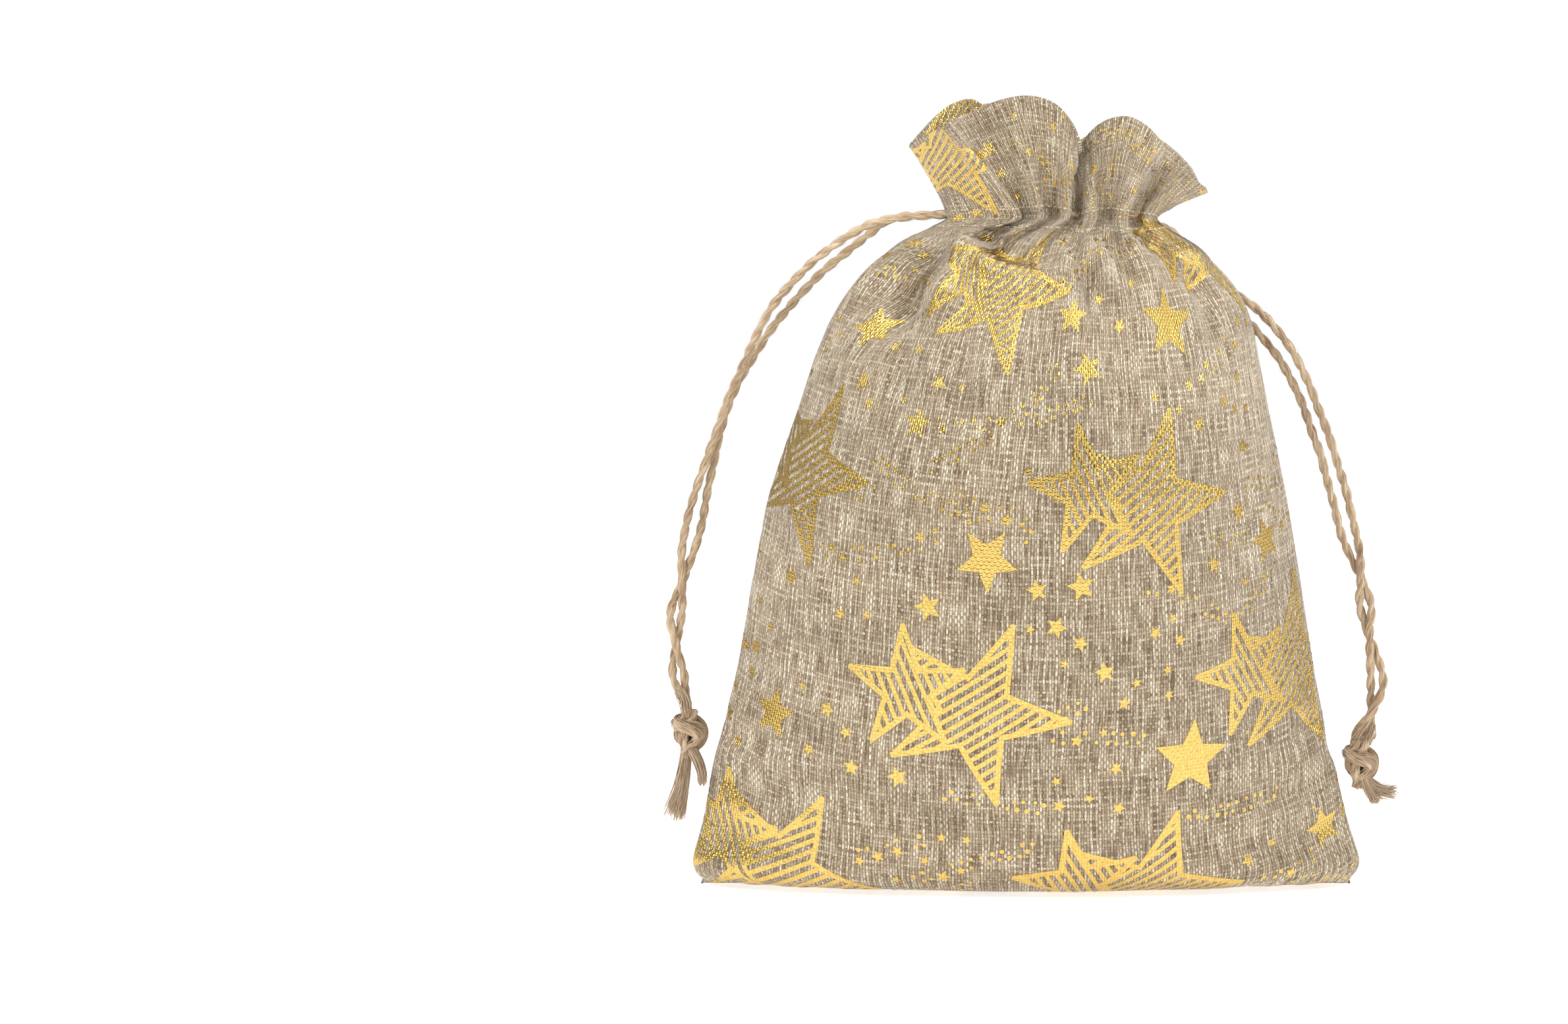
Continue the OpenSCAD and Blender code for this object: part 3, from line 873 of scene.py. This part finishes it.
def stitching_piece(side):
    """Two rows of running stitch, one along each edge of the casing."""
    grid, normal = PANELS[side]
    raised, below = grid + normal * THREAD_R * 0.4, grid - normal * STITCH_DIP
    t = np.linspace(0, 1, 7)
    ends = np.abs(2 * t - 1)[:, None] ** 4
    parts = []
    for v in (BODY_H - CASING_HALF + STITCH_INSET, BODY_H + CASING_HALF - STITCH_INSET):
        for start in np.arange(4.0, PANEL_W - 5, STITCH_PITCH):
            along = start + STITCH * t
            path, sunk = (on_grid(face, V, along, np.full(len(t), v)) for face in (raised, below))
            parts.append(tube(path * (1 - ends) + sunk * ends, THREAD_R, 6))
    points, faces, flat = joined(parts)
    piece = make_piece(f"{side}_running_stitches", points, faces, thread, "sack", flat)
    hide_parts(f"{side}_stitching")


for side in ("front", "back"):
    stitching_piece(side)


# ---------------------------------------------------------------- drawstrings
# Two plies of this radius, this far from the cord's middle, turn once in each TWIST of its length
PLY_R = 0.66
PLY_OUT = 0.36
TWIST = 8.0
STEP = 0.45
HAIR_R = 0.035
FIBRE_R = 0.1

# Routes of the strands: out of the slit, then as the CAD tubes lie
ROUTES = {
    "left_front": [
        [-12, -3.2, 152], [-15, -2.6, 152], [-18.5, -1.6, 152], [-24, -1.5, 151.7], [-30.5, -1.4, 151],
        [-36, -1.4, 149.5], [-42, -1.4, 146], [-48, -1.4, 141.5], [-53, -1.4, 136.5], [-57.5, -1.4, 131],
        [-61, -1.4, 124.5], [-64, -1.4, 117.5], [-67, -1.4, 111], [-69.5, -1.2, 104], [-72, -1, 97],
        [-74.5, -0.6, 90], [-76.5, -0.3, 83], [-77.7, 0, 76], [-77.6, -1.3, 69], [-77.7, 0, 62],
        [-79, 1.3, 55], [-79.8, 0, 48], [-77, -1.3, 42], [-76.2, -1.3, 38.5],
    ],
    "left_back": [
        [-12, 3.2, 152], [-15, 2.6, 152], [-18.5, 1.6, 152], [-24, 1.5, 151.7], [-30.5, 1.4, 151],
        [-35, 1.4, 148], [-40, 1.4, 144], [-45.5, 1.4, 139.5], [-50, 1.4, 135], [-54, 1.4, 130.5],
        [-58, 1.4, 125.5], [-61.5, 1.4, 120], [-64.5, 1.4, 115], [-67, 1.4, 109.5], [-69, 1.2, 103],
        [-70.5, 0.9, 96], [-72, 0.6, 89], [-73.2, 0.3, 82], [-75, 0, 76], [-77.6, 1.3, 69], [-80.3, 0, 62],
        [-79, -1.3, 55], [-77.2, 0, 48], [-77, 1.3, 42], [-76.2, 1.3, 38.5],
    ],
    "right_front": [
        [23, -1.3, 149.5], [26, -1.2, 149.4], [29.5, -1.2, 149.2], [32.4, 1.6, 148.2], [34.6, 5.2, 146],
        [37, 8, 143.2], [39.4, 9.6, 140.5], [43.5, 9.8, 137.2], [48, 8.6, 133.9], [53, 7.2, 130.2],
        [57.3, 5.8, 125.5], [60.5, 4.6, 121], [63.5, 3.4, 115], [66, 2.4, 108.5], [68.5, 1.6, 102],
        [70.5, 1.2, 95.5], [72.5, 0.8, 89], [74, 0.4, 82.5], [75.3, 0, 76.5], [75.6, -1.3, 70.5],
        [75.5, 0, 64], [77.6, 1.3, 57.5], [79.9, 0.6, 51.5], [81, 0, 46], [78.8, -1.3, 40.5],
        [75.7, -0.3, 35.5], [75, 0.9, 31.5],
    ],
    "right_back": [
        [23, 1.3, 149.5], [26, 1.4, 149.4], [29, 2, 149], [30.8, 5.4, 148.2], [32.6, 9.4, 146],
        [34.8, 12.2, 143], [37.4, 13.2, 140], [41, 13.2, 136.6], [45.5, 11.6, 132.4], [50.2, 9.8, 128.2],
        [54.2, 8.2, 123.8], [57.5, 6.6, 119.5], [60, 5.2, 115], [62.5, 3.6, 109.5], [64.5, 2.4, 103.5],
        [66.5, 1.2, 98], [68, 0.4, 92], [69.5, -0.2, 86.5], [71, -0.2, 80.5], [72.8, 0.2, 76],
        [75.6, 1.3, 70.5], [78.1, 0, 64], [77.6, -1.3, 57.5], [77.9, -0.7, 51.5], [78.2, 0, 46],
        [78.4, 1.3, 40.5], [78.2, 0.3, 35.5], [77.2, -0.6, 31.5],
    ],
}
# Each drawstring inside the casing: where it starts and turns back, its height, how far from the middle its
# two sides start, and how far in they are fully apart
CASING_RUNS = {"left": (-12.5, 25.0, 152.0, 3.2, 4.0), "right": (23.5, -14.0, 149.5, 1.3, 9.5)}
CASING_Y = 4.7
END_REACH = 2.4
KNOTS = {"left": (-76.0, 0.0, 34.5), "right": (76.0, 0.0, 27.5)}

# An overhand knot in a doubled cord, round its middle: in at the top, round, through itself, out below
OVERHAND = [
    [0, -0.4, 5.0], [-0.3, -0.8, 3.4], [-1.6, -1.4, 1.6], [-1.9, -0.9, -0.8], [-0.4, 0.8, -2.2],
    [1.7, 1.6, -1.2], [2.2, 1.4, 1.0], [0.5, 1.8, 2.4], [-1.7, 0.9, 2.5], [-2.0, -1.4, 2.2],
    [0.3, -2.9, 1.7], [2.3, -2.0, 0.6], [1.6, -0.6, -1.2], [0.2, -0.2, -2.8], [-0.4, 0, -4.6],
]
KNOT_PAIR = 0.95

TAIL_FIBRES = 210
# Frayed tails: start, end, spread at the end, bend sideways
TAILS = {
    "left": [
        ((-76.6, 0, 31.8), (-80.6, 0, 13.5), 3.2, (0.8, -0.6, 0)),
        ((-75.6, -0.9, 31.5), (-72.8, -3.8, 22.5), 1.5, (0.8, 0, 0.6)),
    ],
    "right": [
        ((76.6, -0.3, 26), (84.6, -1.5, 21.8), 1.9, (-1.2, 0, -1.8)),
        ((76.8, -0.8, 25.4), (80.6, -1.6, 18.8), 1.6, (-0.4, 0, -0.8)),
    ],
}


def plies(path, radius=PLY_R, out=PLY_OUT, twist=TWIST, seed=1, step=STEP):
    """Two twisted plies of jute along a path, each with grooves where its fibres lie."""
    rng = np.random.default_rng(seed)
    path = np.asarray(path, float)
    long = length_of(path)
    path = by_length(path, max(8, int(long / step)))
    a, b = ring_frames(path)
    reach = np.linspace(0, long, len(path))
    changes = max(4, int(long / 5))
    uneven = np.interp(reach, np.linspace(0, long, changes), rng.uniform(0, 1, changes))
    parts = []
    for ply in (0, 1):
        turn = 2 * math.pi * reach / twist + math.pi * ply + 0.5 * uneven
        centre = path + out * (np.cos(turn)[:, None] * a + np.sin(turn)[:, None] * b)
        radii = radius * (0.94 + 0.14 * np.roll(uneven, 3 * ply))
        shift = 40.0 * ply + seed
        parts.append(tube(centre, radii, 10, lobes=4, depth=0.09, turn=1.6 + 0.5 * ply, shift=shift))
    return parts


def hairs(path, count, seed, long=(1.0, 2.6)):
    """Loose jute fibres that stand off a cord."""
    rng = np.random.default_rng(seed)
    path = by_length(path, 200)
    a, b = ring_frames(path)
    ahead = np.gradient(path, axis=0)
    ahead /= np.linalg.norm(ahead, axis=1, keepdims=True)
    parts = []
    for _ in range(count):
        i = rng.integers(2, 198)
        angle = rng.uniform(0, 2 * math.pi)
        out = math.cos(angle) * a[i] + math.sin(angle) * b[i]
        side = math.cos(angle + 1.5) * a[i] + math.sin(angle + 1.5) * b[i]
        reach = rng.uniform(*long)
        lift = rng.uniform(0.15, 0.5)
        bend = rng.uniform(-0.5, 0.5)
        t = np.linspace(0, 1, 5)[:, None]
        line = path[i] + out * (0.75 + reach * lift * t) + ahead[i] * reach * t * rng.choice([-1, 1])
        line = line + side * bend * reach * t**2
        parts.append(tube(line, HAIR_R * (1 - 0.6 * t[:, 0]), 3, shift=rng.uniform(0, 300)))
    return parts


def loose_fibres(path, spread, count, rng):
    """Untwisted fibres that run along a path, as far from it at each point as the spread says."""
    path = by_length(path, max(8, int(length_of(path) / 0.7)))
    a, b = ring_frames(path)
    share = np.linspace(0, 1, len(path))
    wide = np.interp(share, np.linspace(0, 1, len(spread)), spread)
    parts = []
    for _ in range(count):
        first = rng.integers(0, len(path) // 3)
        last = rng.integers(2 * len(path) // 3, len(path)) + 1
        keep = slice(first, last)
        angle = rng.uniform(0, 2 * math.pi) + share[keep] * rng.uniform(0.5, 2.0)
        out = wide[keep] * math.sqrt(rng.uniform(0.35, 1))
        out = out * (1 + 0.1 * np.sin(share[keep] * rng.uniform(8, 25)))
        to_a, to_b = (out * np.cos(angle))[:, None], (out * np.sin(angle))[:, None]
        line = path[keep] + to_a * a[keep] + to_b * b[keep]
        parts.append(tube(line, rng.uniform(0.6, 1.2) * FIBRE_R, 4, shift=rng.uniform(0, 300)))
    return parts


def strand_piece(side, face):
    """A free strand of a drawstring, and the path it follows."""
    name = f"{side}_{face}"
    path = catmull(ROUTES[name], 6)
    seed = sorted(ROUTES).index(name) + 1
    points, faces, flat = joined(plies(path, seed=seed) + hairs(path, 70, seed + 20))
    piece = make_piece(f"{name}_twine", points, faces, jute, None, flat)
    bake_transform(piece)
    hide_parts(f"{name}_strand")
    return piece, path


def casing_run_piece(side):
    """The part of a drawstring that lies inside the casing: along the front, round the end and back."""
    start, turn, z, apart, spread = CASING_RUNS[side]
    way = 1 if turn > start else -1
    turns = np.linspace(0, math.pi, 9)
    bend = [[turn + way * math.sin(a) * END_REACH, -CASING_Y * math.cos(a), z] for a in turns]
    lead = [[start, -apart, z], [start + way * spread / 2, -apart, z], [start + way * spread, -CASING_Y, z]]
    back = [[x, -y, z] for x, y, _ in lead[::-1]]
    points, faces, flat = joined(plies(catmull(lead + bend + back, 8), seed=9 if side == "left" else 10))
    piece = make_piece(f"{side}_twine_in_casing", points, faces, jute, f"{side}_drawstring", flat)
    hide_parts(f"{side}_cord_in_casing")


def knot_piece(side):
    """An overhand knot tied in both strands of a drawstring together, where their twist has come loose."""
    rng = np.random.default_rng(41 if side == "left" else 42)
    centre = catmull(OVERHAND, 8) * np.array([1, 1, 1.12]) + np.array(KNOTS[side])
    a, b = ring_frames(centre)
    turn = np.linspace(0, 1.5 * math.pi, len(centre))[:, None]
    off = np.cos(turn) * a + np.sin(turn) * b
    parts = []
    for way in (-1, 1):
        strand = centre + way * KNOT_PAIR * off
        parts += plies(strand, radius=0.7, out=0.4, twist=7.5, seed=30 + way, step=0.5)
        parts += loose_fibres(strand, [1.1, 1.2, 1.1], 60, rng)
    for face in ("front", "back"):
        end = catmull(ROUTES[f"{side}_{face}"][-4:], 10)[-18:]
        parts += loose_fibres(end, [0.7, 1.3, 1.5, 1.2], 45, rng)
    parts += hairs(centre, 90, 41 if side == "left" else 42, long=(1.0, 2.4))
    points, faces, flat = joined(parts)
    piece = make_piece(f"{side}_overhand_knot", points, faces, jute_fibre, f"{side}_tails", flat)
    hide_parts(f"{side}_knot")
    return piece


def brush(start, end, spread, bend, count, rng):
    """Loose fibres that open out from the end of a cut cord, in three uneven clumps."""
    start, end, bend = (np.array(p, float) for p in (start, end, bend))
    along = end - start
    a, b = ring_frames(np.stack([start, (start + end) / 2, end]))
    clumps = [(rng.uniform(-0.9, 0.9), rng.uniform(-0.5, 0.5), rng.uniform(0.84, 1.0)) for _ in range(3)]
    parts = []
    t = np.linspace(0, 1, 9)[:, None]
    for _ in range(count):
        angle, share = rng.uniform(0, 2 * math.pi), math.sqrt(rng.uniform(0, 1))
        out = math.cos(angle) * a[0] + math.sin(angle) * b[0]
        to_a, to_b, reach = clumps[rng.integers(0, 3)]
        reach *= rng.uniform(0.82, 1.03)
        wide = 1.25 + (spread * 0.6 - 1.25) * (t * reach) ** 1.3
        wave = 0.35 * np.sin(t * rng.uniform(2, 7) + angle) * t
        line = start + along * t * reach + bend * np.sin(math.pi * t * reach) * 0.8
        line = line + out * share * wide + (to_a * a[0] + to_b * b[0]) * spread * 0.7 * (t * reach) ** 2
        line = line + a[0] * wave * rng.uniform(-1, 1) + b[0] * wave * rng.uniform(-1, 1)
        parts.append(tube(line, rng.uniform(0.06, 0.12) * (1 - 0.4 * t[:, 0]), 4, shift=rng.uniform(0, 300)))
    return parts


def frayed_piece(side):
    """The frayed ends below a knot."""
    rng = np.random.default_rng(51 if side == "left" else 52)
    parts = []
    for start, end, spread, bend in TAILS[side]:
        parts += brush(start, end, spread, bend, TAIL_FIBRES, rng)
    points, faces, flat = joined(parts)
    piece = make_piece(f"{side}_frayed_brush", points, faces, jute_fibre, f"{side}_tails", flat)
    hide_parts(f"{side}_frayed_ends")
    return piece


def drawstring(side):
    """A whole drawstring: inside the casing, its two free strands, its knot and its frayed ends."""
    casing_run_piece(side)
    ends = [knot_piece(side), frayed_piece(side)]
    for face in ("front", "back"):
        piece, path = strand_piece(side, face)


for side in ("left", "right"):
    drawstring(side)


# ---------------------------------------------------------------- gold foil
FOIL_LIFT = 0.07
INNER = 0.45
HATCHED_INNER = 0.38
STROKE = 1.0
OUTLINE = 1.2
HATCH = 2.05
# A star pair: the radii of its stars, the smaller one's place from the larger one's, and their hatching
LARGE_R = 21.0
SMALL_R = 14.0
SMALL_AT = (-15.5, 3.5)
LARGE_HATCH = math.radians(35)
SMALL_HATCH = math.radians(118)


def star_points(u, v, radius, angle, inner=INNER):
    """The ten corners of a five-pointed star, starting with the tip at angle."""
    made = []
    for k in range(10):
        reach = radius if k % 2 == 0 else radius * inner
        turn = angle + k * math.pi / 5
        made.append((u + reach * math.cos(turn), v + reach * math.sin(turn)))
    return np.array(made)


def bar(a, b, width):
    """A straight stroke as a rectangle."""
    a, b = np.asarray(a, float), np.asarray(b, float)
    way = (b - a) / max(np.linalg.norm(b - a), 1e-9)
    side = np.array([-way[1], way[0]]) * width / 2
    return np.array([a - side, b - side, b + side, a + side])


def inside_spans(start, way, outline):
    """The stretches of a line from start along way that lie inside an outline."""
    cuts = []
    for i in range(len(outline)):
        p, q = outline[i] - start, outline[(i + 1) % len(outline)] - start
        sp, sq = way[0] * p[1] - way[1] * p[0], way[0] * q[1] - way[1] * q[0]
        if (sp > 0) != (sq > 0):
            t = sp / (sp - sq)
            cuts.append(float((p + (q - p) * t) @ way))
    cuts.sort()
    return list(zip(cuts[0::2], cuts[1::2]))


def without(spans, holes):
    """Stretches with other stretches taken out of them."""
    for low, high in holes:
        kept = []
        for a, b in spans:
            if high <= a or low >= b:
                kept.append((a, b))
                continue
            if low > a:
                kept.append((a, low))
            if high < b:
                kept.append((high, b))
        spans = kept
    return spans


def hatched_star(u, v, radius, angle, hatch, over=None):
    """An outlined star filled with slanting strokes. A star that lies over it hides part of it."""
    outline = star_points(u, v, radius, angle, HATCHED_INNER)
    centre = np.array([u, v])
    shapes = []
    for i in range(10):
        a, b = outline[i], outline[(i + 1) % 10]
        a, b = a + (centre - a) * 0.02, b + (centre - b) * 0.02
        way = (b - a) / np.linalg.norm(b - a)
        spans = [(-OUTLINE * 0.4, np.linalg.norm(b - a) + OUTLINE * 0.4)]
        if over is not None:
            spans = without(spans, inside_spans(a, way, over))
        shapes += [bar(a + way * s, a + way * e, OUTLINE) for s, e in spans if e - s > 0.2]
    way = np.array([math.cos(hatch), math.sin(hatch)])
    square = np.array([-way[1], way[0]])
    for offset in np.arange(-radius, radius, HATCH):
        start = centre + square * (offset + 0.3)
        spans = inside_spans(start, way, outline)
        if over is not None:
            spans = without(spans, inside_spans(start, way, over))
        shapes += [bar(start + way * s, start + way * e, STROKE) for s, e in spans if e - s > 0.4]
    return shapes


def solid_star(u, v, radius, angle):
    """A filled star as its five tips and the pentagon between them."""
    outline = star_points(u, v, radius, angle)
    tips = [outline[[k - 1, k, (k + 1) % 10]] for k in range(0, 10, 2)]
    return tips + [outline[1::2]]


def dot(u, v, radius):
    """A small round dot, with seven corners."""
    angle = np.arange(7) * 2 * math.pi / 7
    return np.c_[u + radius * np.cos(angle), v + radius * np.sin(angle)]


def star_pair(u, v, angle):
    """Two overlapping hatched stars. The smaller one lies over the left of the larger one."""
    small = (u + SMALL_AT[0], v + SMALL_AT[1], SMALL_R, math.radians(100) + angle)
    over = star_points(*small, HATCHED_INNER)
    return hatched_star(*small, SMALL_HATCH) + hatched_star(u, v, LARGE_R, angle, LARGE_HATCH, over=over)


# Star pairs on each panel, by the middle of their larger star: u, v
PAIRS = {
    "front": [
        (23.8, 16.5), (103, 16.5), (182, 17), (-16, 62), (65, 60), (144, 61), (15, 105), (104.5, 104.7),
        (-18, 150), (61.5, 152.4), (143, 163), (10, 196), (46, 236), (125, 238),
    ],
    "back": [
        (9, -6), (88, -6), (-26, 38), (51, 38), (130, 38), (9, 82.5), (88, 82.5), (167, 82.5), (51, 126.5),
        (130, 126.5), (9, 171), (88, 171), (51, 212), (130, 212),
    ],
}
# Larger solid stars: u, v, radius, turn
SOLID_STARS = {
    "front": [
        (113.7, 144, 9, 0.22), (113, 48, 9, 0.2), (66.5, 93, 7.2, 1.0), (17, 51, 6, 0.3), (139, 92, 5.5, 0.5),
        (20, 140, 6, 0.9), (84, 146, 4.5, 0.2), (89, 134, 4, 0.7), (46, 120, 3.6, 0.3), (146, 22, 5, 0.4),
    ],
    "back": [(124, 62, 9, 0.4), (14, 104, 8.5, 0.9), (128, 150, 7, 0.1), (22, 20, 8, 0.6), (20, 152, 6, 0.2)],
}
# The radii of the small stars, and the share of each
STAR_SIZES = (1.2, 1.6, 2.0, 2.5, 3.3)
STAR_SHARES = (0.26, 0.3, 0.24, 0.14, 0.06)
SMALL_STARS = 700
HEADER_STARS = 150
TRAILS = 64
DOT_PITCH = 2.2
LANE = 1.9


def add_small(shapes, taken, star, u, v, radius, spare, turn):
    """Adds a small star or a dot, where nothing printed already is in its way."""
    if all(math.hypot(u - a, v - b) > r + radius + spare for a, b, r in taken):
        shapes += solid_star(u, v, radius, turn) if star else [dot(u, v, radius)]
        taken.append((u, v, radius))


def layout(side, height):
    """Every foil shape on one panel: star pairs, solid stars, small stars and curved rows of dots."""
    rng = np.random.default_rng(61 if side == "front" else 62)
    shapes, taken = [], []
    for u, v in PAIRS[side]:
        shapes += star_pair(u, v, math.radians(rng.uniform(-8, 2)))
        taken += [(u, v, 16.5), (u + SMALL_AT[0], v + SMALL_AT[1], 12.0)]
    for u, v, radius, turn in SOLID_STARS[side]:
        shapes += solid_star(u, v, radius, turn)
        taken.append((u, v, radius))
    for _ in range(TRAILS):
        u, v = rng.uniform(0, PANEL_W), rng.uniform(0, height)
        heading, curve = rng.uniform(-0.6, 0.7), rng.uniform(-0.05, 0.05)
        for _ in range(rng.integers(8, 20)):
            for lane in (0, 1):
                ahead, aside = lane * DOT_PITCH / 2, lane * LANE
                at_u = u + ahead * math.cos(heading) - aside * math.sin(heading)
                at_v = v + ahead * math.sin(heading) + aside * math.cos(heading)
                at_u, at_v = at_u + rng.uniform(-0.35, 0.35), at_v + rng.uniform(-0.35, 0.35)
                star = rng.random() < 0.3
                radius = rng.uniform(1.1, 1.9) if star else rng.uniform(0.4, 0.62)
                add_small(shapes, taken, star, at_u, at_v, radius, 0.45, rng.uniform(0, 1.26))
            u, v = u + DOT_PITCH * math.cos(heading), v + DOT_PITCH * math.sin(heading)
            heading += curve
    for place in range(SMALL_STARS + HEADER_STARS):
        low = 0 if place < SMALL_STARS else BODY_H
        u, v = rng.uniform(0, PANEL_W), rng.uniform(low, height)
        radius = rng.choice(STAR_SIZES, p=STAR_SHARES)
        add_small(shapes, taken, True, u, v, radius, rng.uniform(0.8, 3.5), rng.uniform(0, 1.26))
    return shapes


def foil_mesh(shapes, corners, heights):
    """Foil shapes merged into one layer, cut along the triangles of the cloth and laid on its corners."""
    nodes = np.stack(np.meshgrid(U, heights), axis=2)
    at = np.arange(nodes.size // 2).reshape(nodes.shape[:2])
    pairs = ((at[:, :-1], at[:, 1:]), (at[:-1], at[1:]), (at[:-1, :-1], at[1:, 1:]))
    edges = np.concatenate([np.stack(pair, axis=2).reshape(-1, 2) for pair in pairs])
    points, outlines = nodes.reshape(-1, 2).tolist(), []
    for shape in shapes:
        outlines.append(list(range(len(points), len(points) + len(shape))))
        points += shape.tolist()
    found = delaunay_2d_cdt([Vector(p) for p in points], edges.tolist(), outlines, 1, 1e-4)
    flat = np.array([tuple(p) for p in found[0]])
    faces = np.array([face for face, source in zip(found[2], found[5]) if source])
    middle = flat[faces].mean(axis=1)
    inside = (middle[:, 0] > 0) & (middle[:, 0] < PANEL_W)
    inside &= (middle[:, 1] > heights[0]) & (middle[:, 1] < heights[-1])
    used, faces = np.unique(faces[inside], return_inverse=True)
    flat = flat[used]
    return on_grid(corners, heights, flat[:, 0], flat[:, 1]), faces.reshape(-1, 3), flat


def foil_piece(side):
    """The print on a panel, and on the header where it turns in over the top edge."""
    grid, normal = PANELS[side]
    _, inner, rows = lining_grids(side)
    top = V[rows] > BODY_H + CASING_HALF + 1
    turned_v = EDGE_V + (EDGE_V - V[rows][top][::-1])
    shapes = layout(side, turned_v[-1])
    points, faces, flat = foil_mesh(shapes, grid + normal * FOIL_LIFT, V)
    turned = inner[top][::-1] - normal[rows][top][::-1] * FOIL_LIFT
    more, more_faces, more_flat = foil_mesh(shapes, turned, turned_v)
    faces = np.concatenate([faces, more_faces + len(points)]).tolist()
    flat = np.concatenate([flat, more_flat]) + np.array([PANEL_START[side], 0])
    make_piece(f"{side}_gold_foil", np.concatenate([points, more]), faces, foil, "sack", flat)


for side in ("front", "back"):
    foil_piece(side)


# ---------------------------------------------------------------- the stage
# The camera looks at VIEW_AIM from VIEW_AWAY metres in front of it, at VIEW_RISE above the level
VIEW_AIM = Vector((-0.0546, 0.0, 0.085))
VIEW_AWAY = 0.983
VIEW_RISE = math.radians(4)


def floor_piece():
    """A white table that glows a little, so that it meets the tent without a line."""
    mesh = ground_square("studio_floor", 6.0)
    made, _, shader = new_material("white_table")
    shader.inputs["Base Color"].default_value = (0.9, 0.9, 0.91, 1)
    shader.inputs["Roughness"].default_value = 0.7
    shader.inputs["Specular IOR Level"].default_value = 0.2
    shader.inputs["Emission Color"].default_value = (1, 1, 1, 1)
    shader.inputs["Emission Strength"].default_value = 0.65
    mesh.materials.append(made)
    placed("studio_floor", mesh)


def aimed(name, data, place, aim):
    """A lamp or camera at a place, turned towards its aim."""
    made = placed(name, data)
    made.location = place
    made.rotation_euler = (Vector(aim) - made.location).to_track_quat("-Z", "Y").to_euler()
    return made


def soft_light(name, place, power, wide, tall):
    """A rectangular panel light, aimed at the middle of the sack."""
    data = bpy.data.lights.new(name, "AREA")
    data.shape = "RECTANGLE"
    data.size, data.size_y, data.energy = wide, tall, power
    aimed(name, data, place, (0, 0, 0.09))


def ruffle_light():
    """A narrow soft light from the right that lifts the ruffle and the shoulders."""
    data = bpy.data.lights.new("ruffle_light", "SPOT")
    data.energy = 18.0
    data.spot_size = math.radians(11)
    data.spot_blend = 1.0
    data.shadow_soft_size = 0.06
    aimed("ruffle_light", data, (0.5, -0.75, 0.42), (0.02, -0.01, 0.163))


def tent():
    """An evenly lit light tent, with a darker opening on the camera's side."""
    world = bpy.data.worlds.new("light_tent")
    bpy.context.scene.world = world
    world.use_nodes = True
    tree = world.node_tree
    background = tree.nodes["Background"]
    way = add_node(tree, "ShaderNodeTexCoord").outputs["Generated"]
    towards = {0: way, 1: (0.0, -1.0, 0.2)}
    facing = add_node(tree, "ShaderNodeVectorMath", towards, operation="DOT_PRODUCT").outputs["Value"]
    tent_light = ramp(tree, facing, [(0.88, (0.42, 0.415, 0.42, 1)), (0.985, (0.03, 0.025, 0.02, 1))])
    seen = add_node(tree, "ShaderNodeLightPath").outputs["Is Camera Ray"]
    tree.links.new(mixed(tree, seen, tent_light, (1.0, 1.0, 1.0, 1)), background.inputs["Color"])
    background.inputs["Strength"].default_value = 1.0


def camera():
    """A long lens in front of the sack, a little above its middle."""
    data = bpy.data.cameras.new("camera")
    data.lens = 100
    data.sensor_width = 36
    place = VIEW_AIM + VIEW_AWAY * Vector((0, -math.cos(VIEW_RISE), math.sin(VIEW_RISE)))
    bpy.context.scene.camera = aimed("camera", data, place, VIEW_AIM)


floor_piece()
tent()
soft_light("left_panel", (-0.75, -0.5, 0.75), 6.2, 0.7, 0.7)
soft_light("right_panel", (0.8, -0.2, 0.55), 3.9, 0.7, 0.7)
soft_light("top_panel", (0.0, -0.1, 1.1), 5.5, 0.9, 0.6)
ruffle_light()
camera()
bpy.context.scene.view_settings.view_transform = "Standard"
